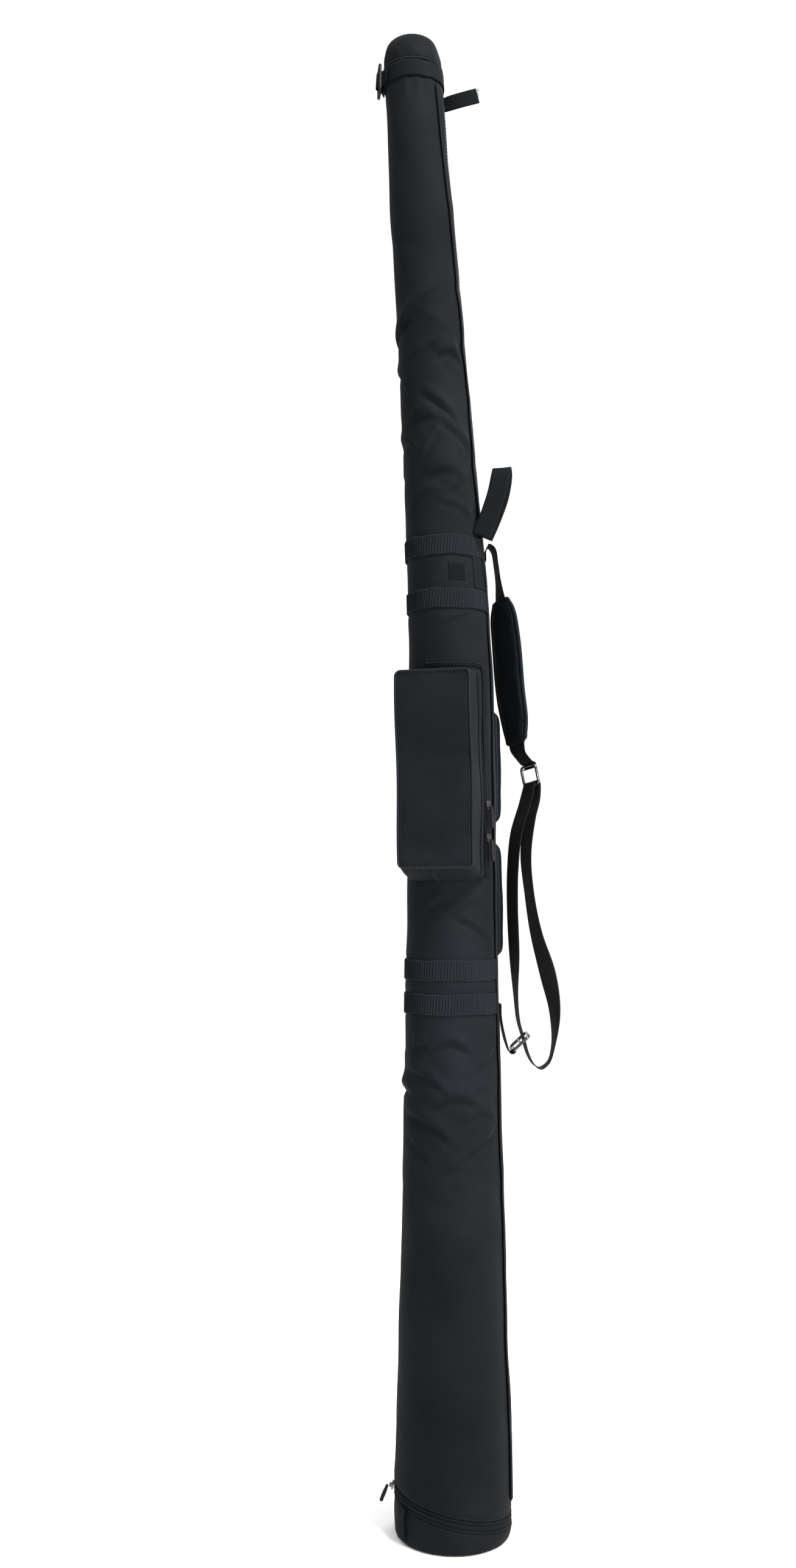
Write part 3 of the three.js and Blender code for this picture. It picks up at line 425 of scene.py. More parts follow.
def grid(name, P, mat, U=None, V=None, close_i=False, close_j=False, caps=False, **more):
    """A sheet of quads through points P[i][j]; U and V give its UV in mm."""
    P = np.asarray(P, float)
    n, m = P.shape[:2]
    if U is None:
        step_j = np.linalg.norm(np.diff(P, axis=1, append=P[:, :1]), axis=2)
        step_i = np.linalg.norm(np.diff(P, axis=0, append=P[:1]), axis=2)
        U = np.concatenate([np.zeros((n, 1)), np.cumsum(np.broadcast_to(step_j.mean(0), (n, m)), 1)], 1)
        V = np.concatenate([np.zeros((1, m)), np.cumsum(np.broadcast_to(step_i.mean(1)[:, None], (n, m)), 0)], 0)
        U = np.concatenate([U, U[:1]], 0)
        V = np.concatenate([V, V[:, :1]], 1)
    faces, uvs = [], []
    for i in range(n if close_i else n - 1):
        for j in range(m if close_j else m - 1):
            i1, j1 = (i + 1) % n, (j + 1) % m
            faces.append((i * m + j, i * m + j1, i1 * m + j1, i1 * m + j))
            uvs += [
                (U[i, j], V[i, j]), (U[i, j + 1], V[i, j + 1]), (U[i + 1, j + 1], V[i + 1, j + 1]),
                (U[i + 1, j], V[i + 1, j])
            ]
    if caps:
        for i, turn in ((0, -1), (n - 1, 1)):
            faces.append(tuple(i * m + j for j in range(m))[::turn])
            uvs += [(U[i, j], V[i, j]) for j in range(m)][::turn]
    return make(name, P, faces, mat, uvs=uvs, **more)


def solidify(piece, thickness, offset=-1):
    modifier = piece.modifiers.new("thickness", "SOLIDIFY")
    modifier.thickness = thickness * MM
    modifier.offset = offset
    return piece


def subdivide(piece):
    modifier = piece.modifiers.new("smooth", "SUBSURF")
    modifier.levels = modifier.render_levels = 1


def curve(points, steps, closed=False):
    """A centripetal Catmull-Rom curve through points of any dimension."""
    P = np.asarray(points, float)
    count = len(P)
    if closed:
        P = np.concatenate([P[-1:], P, P[:2]])
    else:
        P = np.concatenate([2 * P[:1] - P[1:2], P, 2 * P[-1:] - P[-2:-1]])
    spans = count if closed else count - 1
    out = []
    for k in range(steps if closed else steps + 1):
        t = k / steps * spans
        i = min(int(t), spans - 1)
        f = t - i
        p0, p1, p2, p3 = P[i : i + 4]
        d = [max(np.linalg.norm((b - a)[:3]) ** 0.5, 1e-4) for a, b in ((p0, p1), (p1, p2), (p2, p3))]
        m1 = (p2 - p1) + d[1] * ((p1 - p0) / d[0] - (p2 - p0) / (d[0] + d[1]))
        m2 = (p2 - p1) + d[1] * ((p3 - p2) / d[2] - (p3 - p1) / (d[1] + d[2]))
        h = (2 * f**3 - 3 * f**2 + 1, f**3 - 2 * f**2 + f, -2 * f**3 + 3 * f**2, f**3 - f**2)
        out.append(h[0] * p1 + h[1] * m1 + h[2] * p2 + h[3] * m2)
    return np.array(out)


def frames(path, across, closed):
    """Along, across and up at each point of a path; across says roughly where its width points."""
    if closed:
        along = np.roll(path, -1, 0) - np.roll(path, 1, 0)
    else:
        along = np.gradient(path, axis=0)
    along = unit(along)
    across = unit(across - along * (across * along).sum(1)[:, None])
    return along, across, np.cross(along, across)


def ribbon(name, stations, width, thick, steps, mat, closed=False, cup=0.0, **more):
    """Webbing through stations (x, y, z, across x, y, z, share of the width)."""
    more.setdefault("slot", "webbing")
    S = curve([list(s) + [1.0] * (7 - len(s)) for s in stations], steps, closed)
    path, share = S[:, :3], S[:, 6]
    _, across, up = frames(path, S[:, 3:6], closed)
    half = np.linspace(-1, 1, 13)
    edge = 1 - 0.45 * np.abs(half) ** 14
    ring = [(s, t / 2) for s, t in zip(half, edge)] + [(s, -t / 2) for s, t in zip(half[::-1], edge[::-1])]
    P = np.zeros((len(path), len(ring), 3))
    for j, (s, t) in enumerate(ring):
        bow = cup * (s * s - 0.33)
        P[:, j] = path + across * (s * width / 2 * share)[:, None] + up * (t * thick + bow)
    length = run_of(np.vstack([path, path[:1]]))
    s_mm = np.array([s * width / 2 for s, _ in ring] + [-width / 2])
    U = np.repeat(length[:, None], len(ring) + 1, 1)
    V = np.repeat(s_mm[None, :], len(length), 0)
    return grid(name, P, mat, U, V, close_i=closed, close_j=True, caps=not closed, **more)


def tube(name, path, r, mat, closed=False, sides=8, **more):
    """A cord of radius r along a path."""
    path = np.asarray(path, float)
    steep = np.abs(unit(np.gradient(path, axis=0))[:, 2]) > 0.8
    if steep.all():
        guide = (1, 0.3, 0.02)
    elif steep.any():
        guide = path - path.mean(0) + np.array([1e-3, 2e-3, 3e-3])
    else:
        guide = (0.03, 0.05, 1)
    _, across, up = frames(path, np.broadcast_to(np.asarray(guide, float), path.shape), closed)
    r = np.broadcast_to(np.asarray(r, float), len(path))
    a = np.linspace(0, 2 * math.pi, sides, endpoint=False)
    spoke = across[:, None] * np.cos(a)[None, :, None] + up[:, None] * np.sin(a)[None, :, None]
    P = path[:, None] + spoke * r[:, None, None]
    return grid(name, P, mat, close_i=closed, close_j=True, caps=not closed, **more)


STITCH_RADIUS = 0.34


def stitches(name, path, normals, long=3.0, gap=1.4, closed=False, **more):
    """A row of thread stitches that lie on a line of points, each a small rounded dash."""
    path, normals = np.asarray(path, float), np.asarray(normals, float)
    if closed:
        path, normals = np.vstack([path, path[:1]]), np.vstack([normals, normals[:1]])
    run = run_of(path)
    points, faces = [], []
    at = gap
    while at + long < run[-1]:
        start, end = at_run(at, run, path), at_run(at + long, run, path)
        up = unit(at_run(at + long / 2, run, normals))
        side = np.cross(up, unit(end - start))
        faces += ring_faces(len(points), 4, 5)
        for f, size, lift in ((0, 0.45, -0.15), (0.25, 1, 0.2), (0.75, 1, 0.2), (1, 0.45, -0.15)):
            middle = start + (end - start) * f + up * lift
            for k in range(5):
                a = 2 * math.pi * k / 5
                points.append(middle + (side * math.cos(a) + up * math.sin(a)) * STITCH_RADIUS * size)
        at += long + gap
    return make(name, points, faces, "thread", **more)


def coil(name, path, normals, width, pitch, r, **more):
    """The spiral of a coil zip along a line of points."""
    run = run_of(path)
    t = np.linspace(0, run[-1], int(run[-1] / pitch) * 8)
    middle = at_run(t, run, path)
    up = unit(at_run(t, run, normals))
    along = unit(np.gradient(middle, axis=0))
    side = np.cross(up, along)
    a = t / pitch * 2 * math.pi
    spiral = middle + side * (np.cos(a) * width / 2)[:, None] + up * (np.sin(a) * 0.45)[:, None]
    ring = [(r, 0), (0, r), (-r, 0), (0, -r)]
    P = np.stack([spiral + along * x + up * y for x, y in ring], 1)
    return grid(name, P, "coil", close_j=True, caps=True, **more)


# ------------------------------------------------------------------ sleeve, cap and lid
COLS = np.linspace(0, 360, 160, endpoint=False)


def build_sleeve():
    low = over_seam(COLS, BASE_RADIUS, SEAM_GAP)[:, 2]
    s = np.linspace(0, 1, 520)
    z = low[None, :] + (CAP_SEAM_Z - low)[None, :] * s[:, None]
    az = np.broadcast_to(COLS, z.shape)
    dr = np.zeros(z.shape)
    for bottom in BAND_BOTTOMS:
        for edge, sign in ((bottom, -1), (bottom + BAND_H, 1)):
            d = (z - edge) * sign
            dr += np.where(d > 0, 0.9 * (d / 9) * np.exp(1 - d / 9) * 0.8, 0)
    above = z - low[None, :]
    dr += -1.3 * np.exp(-((above / 4.5) ** 2)) + 0.9 * np.exp(-(((above - 13) / 11) ** 2))
    below = CAP_SEAM_Z - z
    dr += -0.9 * np.exp(-((below / 3.5) ** 2))
    puckers = np.sin(np.radians(az) * 11 + 1.3 * np.sin(np.radians(az) * 3)) * 0.5
    dr += puckers * np.exp(-(((z - 1762) / 14) ** 2))
    P = proud(az, dr, z)
    U = np.radians(np.append(COLS, 360))[None, :] * 50 * np.ones((len(s), 1))
    V = np.concatenate([z, z[:, :1]], 1)
    sleeve = grid("sleeve", P, "cloth", U, V, close_j=True, stands_for="outer_sleeve")
    solidify(sleeve, 1.8)
    inner = []
    for h in np.linspace(30, 1797, 90):
        inner.append(on(COLS, radius(h) - np.interp(h, (60, 140), (2.8, 8)), np.maximum(h, low)))
    solidify(grid("liner", inner, "foam", close_j=True, stands_for="foam_liner", slot="foam"), 3.2)


def build_cap():
    bottom, height = CAP_SEAM_Z + 0.4, BAG_HEIGHT - CAP_SEAM_Z - 10
    turn = np.radians(COLS)
    P = []
    for t in np.linspace(0, 1, 30):
        a = t * math.pi / 2
        z = bottom + height * math.sin(a) ** 0.85
        r = NECK_RADIUS * max(math.cos(a), 0) ** 0.46 - math.exp(-((t / 0.05) ** 2))
        r = r + 0.7 * math.exp(-((t - 0.14) / 0.1) ** 2) * np.sin(turn * 9 + 1)
        r = r - 1.2 * math.exp(-(((t - 0.62) / 0.16) ** 2)) * np.cos(turn * 2 + 0.6)
        P.append(on(COLS, np.maximum(r, 0.05 if z > bottom + 8 else 1), z))
    P[-1] = on(COLS, 0.01, bottom + height - 0.3)
    solidify(grid("cap", P, "cloth", close_j=True, stands_for="top_cap"), 1.8)
    ring = on(COLS, NECK_RADIUS + 0.2, CAP_SEAM_Z + 0.2)
    tube("cap_piping", ring, 1.6, "binding", closed=True)
    stitch = on(COLS, NECK_RADIUS + 0.3, CAP_SEAM_Z + 4.5)
    stitches("cap_stitches", stitch, outward(COLS), closed=True)


def lid_face(az, s):
    """The radius of the lid's wall, from its rounded foot (s 0) to its seam (s 1)."""
    swell = 1.1 + 0.5 * np.sin(np.radians(az) * 7 + 2)
    return BASE_RADIUS - 0.1 + swell * np.sin(math.pi * s) - 1.2 * s**10


def build_lid():
    top = over_seam(COLS, BASE_RADIUS, -SEAM_GAP)[:, 2]
    foot = 5.5
    profile = [(0.01, 0.0), (20, 0.0), (45, 0.0), (60, 0.0), (63.5, 0.2), (66, 1.2), (67.6, 3.0), (68.4, foot)]
    P = [on(COLS, r, z) for r, z in profile]
    P += [on(COLS, lid_face(COLS, s), foot + (top - foot) * s) for s in np.linspace(0.06, 1, 16)]
    solidify(grid("lid_shell", P, "cloth", close_j=True, body="base_lid", stands_for="bottom_lid"), 2.0)
    profile = [(0.01, 3.6), (50, 3.6), (63, 3.7), (65.2, 5), (65.6, 9)]
    profile += [(65.2, 13), (63, 15.6), (58, 16.6), (30, 16.8), (0.01, 16.8)]
    P = [on(COLS, r, z) for r, z in profile]
    pad = grid("lid_pad", P, "foam", close_j=True, body="base_lid", stands_for="lid_foam_pad", slot="foam")
    for name, dz, body in (("sleeve_piping", 4.7, "bag"), ("lid_piping", -4.7, "base_lid")):
        tube(name, over_seam(COLS, BASE_RADIUS - 0.3, dz), 1.25, "cloth", closed=True, body=body)
    for name, dz, body in (("sleeve_stitches", 9.5, "bag"), ("lid_stitches", -9.0, "base_lid")):
        line = over_seam(COLS, BASE_RADIUS + 0.75, dz)
        if body == "base_lid":
            line = on(COLS, lid_face(COLS, (line[:, 2] - foot) / (top - foot)) + 0.2, line[:, 2])
        stitches(name, line, outward(COLS), closed=True, body=body)
    az = np.linspace(-100, 160, 150)
    profile = ((-3.3, -0.4), (-1.6, 0.25), (0, 0.35), (1.6, 0.25), (3.3, -0.4))
    rows = [over_seam(az, BASE_RADIUS + bulge, dz) for dz, bulge in profile]
    solidify(grid("base_zip", rows, "cloth", stands_for="base_zip_tape", slot="zip_tape"), 1.6)
    coil("base_zip_coil", over_seam(az, BASE_RADIUS + 0.3, 0), outward(az), 1.8, 1.6, 0.3, slot="zip_tape")
    az = np.linspace(161, 259, 60)
    rows = [over_seam(az, BASE_RADIUS - 0.3, dz) for dz in np.linspace(-3.4, 3.4, 9)]
    # the hinge cloth takes the darker nylon copy, painted shade for the gap between the pipings
    hinge = grid("lid_hinge_cloth", rows, "shaded_cloth", body=None, stands_for="lid_hinge_fabric")
    solidify(hinge, 1.6)
    apply_modifiers(hinge)
    middle = over_seam(210, BASE_RADIUS, 0) * MM
    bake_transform(hinge)


def apply_modifiers(piece):
    """Turns a piece's modifiers into its mesh."""
    depsgraph = bpy.context.evaluated_depsgraph_get()
    done = bpy.data.meshes.new_from_object(piece.evaluated_get(depsgraph))
    piece.modifiers.clear()
    piece.data = done


def build_tab():
    az, foot, top = -58, 8, 43
    across = outward(az + 90)
    near = 1.4
    rows = [
        (near, foot), (near, 26), (near, top - 2), (near + 1, top), (near + 2, top - 2), (near + 2.4, 26),
        (near + 2.1, foot)
    ]
    stations = [[*on(az, radius(z) + dr, z), *across] for dr, z in rows]
    ribbon("lid_tab_webbing", stations, 14, 1.1, 40, "webbing", body="base_lid", stands_for="lid_tab")


# ------------------------------------------------------------------ bands, zips, small parts
def wobble(az, z0):
    """How far a band's edges wander up and down, in mm."""
    return 0.5 * np.sin(np.radians(az) * 5 + z0) + 0.3 * np.sin(np.radians(az) * 13)


def band(name, az0, az1, z0, z1, dr, rib, mat, node, slot, count, plain_end=0.0, depth=0.5):
    """A band that hugs the bag: vertical ribs that fade out towards its right-hand end."""
    az = np.linspace(az0, az1, count)
    v = np.linspace(0, 1, 14)
    z = z0 + (z1 - z0) * v
    A, Z = np.meshgrid(az, z)
    arc_mm = np.radians(A) * radius(Z)
    fade = np.clip((az1 - A) / max(plain_end, 1e-3), 0, 1) if plain_end else 1
    edge = np.minimum(v, 1 - v)[:, None]
    ribs = np.sin(arc_mm * 2 * math.pi / rib) * fade * np.clip(edge * 12, 0, 1)
    out = dr + depth * ribs - 0.4 * np.exp(-((edge * 22) ** 2))
    P = on(A, radius(Z) + fold(A, Z) * 0.4 + out, Z + wobble(A, z0))
    U = np.concatenate([arc_mm, arc_mm[:, -1:]], 1)
    U = np.concatenate([U, U[:1]], 0)
    V = np.concatenate([Z, Z[:, :1]], 1)
    V = np.concatenate([V, V[:1]], 0)
    return solidify(grid(name, P, mat, U, V, stands_for=node, slot=slot), 1.2)


def build_bands():
    for i, bottom in enumerate(BAND_BOTTOMS):
        band(
            f"ribbed_band_{i + 1}_weave", 88.5, 429.5, bottom, bottom + BAND_H, 2.2, 3.5, "ribbed",
            f"ribbed_band_{i + 1}", "ribbed_elastic", 980, plain_end=14
        )
        for k, dz in enumerate((1.6, BAND_H - 1.6)):
            az = np.linspace(89, 429, 300)
            z = bottom + dz + wobble(az, bottom)
            stitches(
                f"band_{i + 1}_stitches_{k}", on(az, radius(z) + fold(az, z) * 0.4 + 2.35, z), outward(az),
                slot="ribbed_elastic"
            )
    band("anchor_webbing", 41.5, 68.5, 1122.5, 1162.5, 1.9, 2.6, "webbing", "anchor_strip", "webbing", 90, depth=0.12)
    band("neck_webbing", 96, 456, 1774.5, 1795.5, 2.2, 2.6, "webbing", "neck_band", "webbing", 400, depth=0.1)
    A, Z = np.meshgrid(np.linspace(1.5, 27.5, 40), np.linspace(1131.5, 1153.5, 24))
    edge = np.minimum(np.minimum(A - 1.5, 27.5 - A) / 26, np.minimum(Z - 1131.5, 1153.5 - Z) / 22)
    P = on(A, radius(Z) + np.maximum(fold(A, Z), 0) + 1.6 - 0.7 * np.exp(-((edge * 30) ** 2)), Z + 0.3 * np.sin(A / 4))
    solidify(grid("blank_label", P, "label", stands_for="label_patch", slot="label"), 0.9)
    a0, a1, z0, z1 = 3, 26, 1133.5, 1151.5
    az = np.concatenate([np.linspace(a0, a1, 30), np.full(20, a1), np.linspace(a1, a0, 30), np.full(20, a0)])
    z = np.concatenate([np.full(30, z0), np.linspace(z0, z1, 20), np.full(30, z1), np.linspace(z1, z0, 20)])
    line = on(az, radius(z) + np.maximum(fold(az, z), 0) + 1.75, z)
    stitches("label_stitches", line, outward(az), long=1.6, gap=0.5, slot="label")


def strip(name, shift, width, dr, mat, node, slot, thick, lift=None):
    """A strip of the side zip: shift and width are in mm along the sleeve, dr is its height on it."""
    z = np.linspace(*SIDE_ZIP_Z, 330)[:, None]
    w = np.linspace(-0.5, 0.5, 9)[None, :]
    az = side_zip_az(z) + np.degrees((shift + w * width) / radius(z))
    Z = z * np.ones_like(w)
    rise = lift(Z, w) if lift else 0
    P = proud(az, dr - 0.35 * (2 * np.abs(w)) ** 8 + rise, Z)
    return solidify(grid(name, P, mat, stands_for=node, slot=slot), thick)


def build_side_zip():
    strip("side_zip_tape_weave", 0, 12, 1.7, "zip", "side_zip_tape", "zip_tape", 1.3)

    def wave(Z, w):
        return 0.3 + 0.35 * np.sin(Z / 61) * (w + 0.5) + 0.35 * np.sin(Z / 23 + 1) * (w + 0.5)

    strip("side_zip_flap_cloth", -4, 10, 2.95, "cloth", "side_zip_flap", "sleeve_fabric", 1.0, lift=wave)
    z = np.linspace(50, 1764, 700)
    for k, shift in enumerate((-7.8, 5.2)):
        az = side_zip_az(z) + np.degrees(shift / radius(z))
        rise = 3.1 if k == 0 else 1.85
        stitches(f"side_zip_stitches_{k}", proud(az, rise, z), outward(az), slot="zip_tape")
    az = side_zip_az(z) + np.degrees(2.6 / radius(z))
    coil("side_zip_coil", proud(az, 2.2, z), outward(az), 2.2, 1.4, 0.32, slot="zip_tape")


# ------------------------------------------------------------------ pocket
TURN = math.radians(15)
P_BOTTOM, P_TOP, P_HALF, P_FRONT = 767, 1023, 47, 90
PANEL_BOTTOM, PANEL_TOP, P_MIDDLE = 783, 1015, 899


def pocket_xyz(t, n, z):
    t, n, z = np.broadcast_arrays(*(np.asarray(v, float) for v in (t, n, z)))
    return np.stack([t * math.cos(TURN) - n * math.sin(TURN), -n * math.cos(TURN) - t * math.sin(TURN), z], -1)


def pocket_ring(n, half, low, high, corner):
    """A rounded rectangle in the pocket's (across, up) plane, set at a depth n, as points (t, n, z)."""
    count, middle = 240, (low + high) / 2
    wide, tall = half - corner, (high - low) / 2 - corner
    arc = math.pi / 2 * corner
    out = []
    for k in range(count):
        d = 4 * (wide + tall + arc) * k / count
        for cx, cz, start, run in ((1, 1, 0, wide), (-1, 1, 90, tall), (-1, -1, 180, wide), (1, -1, 270, tall)):
            if d < arc + 2 * run:
                break
            d -= arc + 2 * run
        start = math.radians(start)
        turn, past = start + min(d, arc) / corner, max(d - arc, 0)
        t = cx * wide + corner * math.cos(turn) - past * math.cos(start)
        z = cz * tall + corner * math.sin(turn) - past * math.sin(start)
        out.append((t, n, middle + z))
    return np.array(out)


def pocket_sag(t, z):
    """The front panel's crown and dents, in mm."""
    u, v = t / P_HALF, (z - P_BOTTOM) / (P_TOP - P_BOTTOM)
    out = 2.2 * (1 - np.clip(np.abs(u), 0, 1) ** 3) * np.sin(math.pi * np.clip(v, 0, 1)) ** 0.6
    out -= 2.6 * np.exp(-(((v - 0.56 - 0.03 * u) / 0.035) ** 2)) * np.exp(-(((u - 0.5) / 0.6) ** 2))
    out += 1.3 * np.exp(-(((v - 0.30) / 0.07) ** 2)) * np.exp(-(((u + 0.3) / 0.4) ** 2))
    out -= 1.6 * np.exp(-(((v - 0.80 + 0.05 * u) / 0.05) ** 2)) * np.exp(-(((u - 0.4) / 0.4) ** 2))
    out -= 1.2 * np.exp(-(((v - 0.13 + 0.06 * u) / 0.04) ** 2)) * np.exp(-(((u + 0.1) / 0.5) ** 2))
    return out + 0.3 * np.sin(z / 13 + t / 17)


def pocket_side(ring, share):
    """The gusset between the front edge (share 0) and the sleeve (share 1)."""
    t, n, z = ring[:, 0], ring[:, 1], ring[:, 2]
    v = (z - P_BOTTOM) / (P_TOP - P_BOTTOM)
    rear_t = t * 46 / 44.5
    rear_z = np.interp(z, (PANEL_BOTTOM, PANEL_TOP), (P_BOTTOM + 1, P_TOP - 2))
    rear_n = np.sqrt(np.maximum((radius(rear_z) + 2.0) ** 2 - rear_t**2, 26**2))
    bulge = 1.3 * math.sin(math.pi * share) + 0.9 * np.sin(v * 15 + 1 + share * 2) * math.sin(math.pi * share)
    tt = t + (rear_t - t) * share + np.sign(t) * bulge * (np.abs(t) > 40)
    zz = z + (rear_z - z) * share ** 0.8 - bulge * (np.abs(t) <= 40) * np.where(z < 850, 1, -1) * 0.8
    return np.stack([tt, n + (rear_n - n) * share, zz], -1)


def build_pocket():
    body = "pocket_lid_body"
    front_edge = pocket_ring(P_FRONT - 3.2, 44.5, PANEL_BOTTOM, PANEL_TOP, 6)
    front_edge[:, 0] += (0.5 - (front_edge[:, 2] - P_BOTTOM) / (P_TOP - P_BOTTOM)) * 5
    front_edge[:, 0] += 0.7 * np.sin(front_edge[:, 2] / 27)
    rows = [pocket_side(front_edge, f) for f in np.linspace(0, 1, 16)]
    side = np.array([pocket_xyz(r[:, 0], r[:, 1], r[:, 2]) for r in rows])
    gusset = grid("pocket_gusset", side, "cloth", close_j=True, body=body, stands_for="pocket_lid")
    solidify(gusset, 2.0, offset=1)
    rings, across_mm, up_mm = [], [], []
    for s in np.concatenate([np.linspace(1, 0.85, 8), np.linspace(0.8, 0.0015, 22)]):
        t, z = front_edge[:, 0] * s, P_MIDDLE + (front_edge[:, 2] - P_MIDDLE) * s
        rise = (1 - s**14) * pocket_sag(t, z) + 1.4 * (1 - s**30)
        rings.append(pocket_xyz(t, front_edge[:, 1] + rise, z))
        across_mm.append(np.append(t, t[0]))
        up_mm.append(np.append(z, z[0]))
    panel = grid("pocket_front_panel", rings, "cloth", np.array(across_mm), np.array(up_mm), close_j=True, body=body)
    solidify(panel, 1.6)
    edge = pocket_xyz(
        front_edge[:, 0] * 1.004, front_edge[:, 1] + 0.9, P_MIDDLE + (front_edge[:, 2] - P_MIDDLE) * 1.004
    )
    tube("pocket_piping", edge, 1.55, "binding", closed=True, body=body)
    n_out = pocket_xyz(0, 1, 0)
    t, z = front_edge[:, 0] * 0.93, P_MIDDLE + (front_edge[:, 2] - P_MIDDLE) * 0.985
    line = pocket_xyz(t, front_edge[:, 1] + (1 - 0.93**14) * pocket_sag(t, z) + 1.75, z)
    stitches("pocket_stitches", line, np.repeat(n_out[None], len(line), 0), closed=True, body=body)
    for name, at, low in (("top", -9, False), ("bottom", -3, True)):
        near = np.argmin(np.abs(front_edge[:, 0] - at) + 1e3 * ((front_edge[:, 2] < P_MIDDLE) != low))
        for k, d in enumerate((-1.1, 1.1)):
            path = np.array([pocket_side(front_edge, f)[near] for f in np.linspace(0.02, 0.98, 16)])
            path = pocket_xyz(path[:, 0] + d, path[:, 1], path[:, 2] + (-0.3 if low else 0.3))
            tube(f"pocket_{name}_seam_{k}", path, 0.8, "binding", body=body)
    right = sorted(np.flatnonzero(front_edge[:, 0] > 40), key=lambda k: front_edge[k, 2])
    # the inner flap, in the corner by the sleeve, takes the darker nylon copy as painted shade
    for name, share, width, lift, mat in (("outer", 0.62, 13, 1.6, "cloth"), ("inner", 0.86, 9, 1.0, "shaded_cloth")):
        sheet = []
        for k in right:
            p = pocket_side(front_edge, share)[k]
            q = pocket_side(front_edge, min(share + width / 60, 1.0))[k]
            wave = 0.8 * math.sin(p[2] / 33 + share * 5)
            sheet.append(
                [
                    p + [0.2, 0, 0], p + [lift + wave * 0.4 + 0.8, 0, 0], (p + q) / 2 + [lift + wave, 0, 0],
                    q + [lift * 0.6, 0, 0]
                ]
            )
        sheet = np.array(sheet)
        P = pocket_xyz(sheet[..., 0], sheet[..., 1], sheet[..., 2])
        flap = grid(f"pocket_zip_flap_{name}", P, mat, body=body)
        subdivide(solidify(flap, 1.0))
    az = np.linspace(-75, 43, 60)
    z = np.linspace(P_BOTTOM + 1, P_TOP - 1, 60)
    A, Z = np.meshgrid(az, z)
    solidify(grid("pocket_back_cloth", on(A, radius(Z) + 1.5, Z), "cloth", stands_for="pocket_back"), 1.0)


def build_pocket_zip():
    az0, top = 50.5, P_TOP + 7
    path = [
        (az0, P_BOTTOM + 6), (az0, 817), (az0, 884), (az0, 950), (az0, top - 14), (az0 - 1.5, top - 6),
        (az0 - 6, top - 1), (az0 - 14, top)
    ]
    path += [(a, top) for a in np.linspace(az0 - 26, -35, 7)]
    line = curve([(*on(a, float(radius(z)) + 1.4, z), a) for a, z in path], 260)
    az = line[:, 3]
    points = line[:, :3]
    normal = outward(az)
    across = np.cross(np.gradient(points, axis=0), normal)
    stations = np.hstack([points, unit(across)])[::5]
    ribbon("pocket_zip_weave", stations, 8, 1.5, 150, "zip", stands_for="pocket_zip_tape", slot="zip_tape")
    coil("pocket_zip_coil", points + normal * 0.9, normal, 2.4, 1.7, 0.36, slot="zip_tape")


# ------------------------------------------------------------------ pads
def build_back_pads():
    middle_az, span, thick, tall = 120, 54, 12, 139
    lowest = BAND_BOTTOMS[2] + BAND_H + 2
    turn = np.linspace(0, 2 * math.pi, 160, endpoint=False)
    squarer = 1 / np.maximum(np.abs(np.cos(turn)), np.abs(np.sin(turn))) ** 0.86
    rim_u, rim_v = np.clip(np.cos(turn) * squarer, -1, 1), np.clip(np.sin(turn) * squarer, -1, 1)
    for name, bottom in (("upper", lowest + tall + 24), ("lower", lowest)):
        mid = bottom + tall / 2
        u, v = np.meshgrid(np.linspace(-1, 1, 42), np.linspace(-1, 1, 60))
        az = middle_az + u * span / 2
        half = tall / 2 * (1 - 0.07 * u**4)
        z = mid + v * half
        edge = np.maximum(np.abs(u), np.abs(v))
        rim = (1 - np.abs(u) ** 7) * (1 - np.abs(v) ** 12)
        depth = 1.2 + (thick - 1.6) * np.clip(rim, 0, 1) ** 0.42
        depth -= 1.3 * np.exp(-((u / 0.05) ** 2)) * (edge < 0.9)
        depth += 0.35 * np.sin(az * 0.9 + z / 9) * rim
        pad = grid(
            f"back_pad_{name}_mesh", proud(az, depth, z), "mesh", stands_for=f"back_pad_{name}", slot="mesh_pad"
        )
        solidify(pad, 2.0)
        rim_az, rim_z = middle_az + rim_u * span / 2, mid + rim_v * tall / 2 * (1 - 0.07 * rim_u**4)
        tube(f"back_pad_{name}_piping", proud(rim_az, 4.6, rim_z), 1.8, "binding", closed=True, slot="mesh_pad")
        skirt = np.stack([proud(rim_az, d, rim_z) for d in (0.3, 2.2, 4.4)], 1)
        grid(f"back_pad_{name}_skirt", skirt, "cloth", close_i=True, slot="mesh_pad")


def hung(x, z, turn, y=0.0, share=1.0):
    return [x, y, z, *outward(turn), share]


def inflate(piece, most, pressure=4.0, voxel=4.0):
    """Lets a closed pad swell with Blender's cloth; no point ends further than a few mm from where it was."""
    remesh = piece.modifiers.new("remesh", "REMESH")
    remesh.mode = "VOXEL"
    remesh.voxel_size = voxel * MM
    apply_modifiers(piece)
    count = len(piece.data.vertices)
    start = np.zeros(count * 3)
    piece.data.vertices.foreach_get("co", start)
    cloth_modifier = piece.modifiers.new("cloth", "CLOTH")
    cloth_modifier.settings.use_pressure = True
    cloth_modifier.settings.uniform_pressure_force = pressure
    cloth_modifier.settings.effector_weights.gravity = 0
    scene = bpy.context.scene
    for number in range(1, 21):
        scene.frame_set(number)
    swollen = piece.evaluated_get(bpy.context.evaluated_depsgraph_get()).data
    end = np.zeros(count * 3)
    swollen.vertices.foreach_get("co", end)
    piece.modifiers.clear()
    scene.frame_set(1)
    move = (end - start).reshape(-1, 3)
    far = np.linalg.norm(move, axis=1)[:, None] + 1e-9
    move *= np.minimum(far, most * MM) / far
    piece.data.vertices.foreach_set("co", (start.reshape(-1, 3) + move).ravel())
    piece.data.polygons.foreach_set("use_smooth", [True] * len(piece.data.polygons))
    piece.data.update()
    subdivide(piece)


PAD_HALF = 28


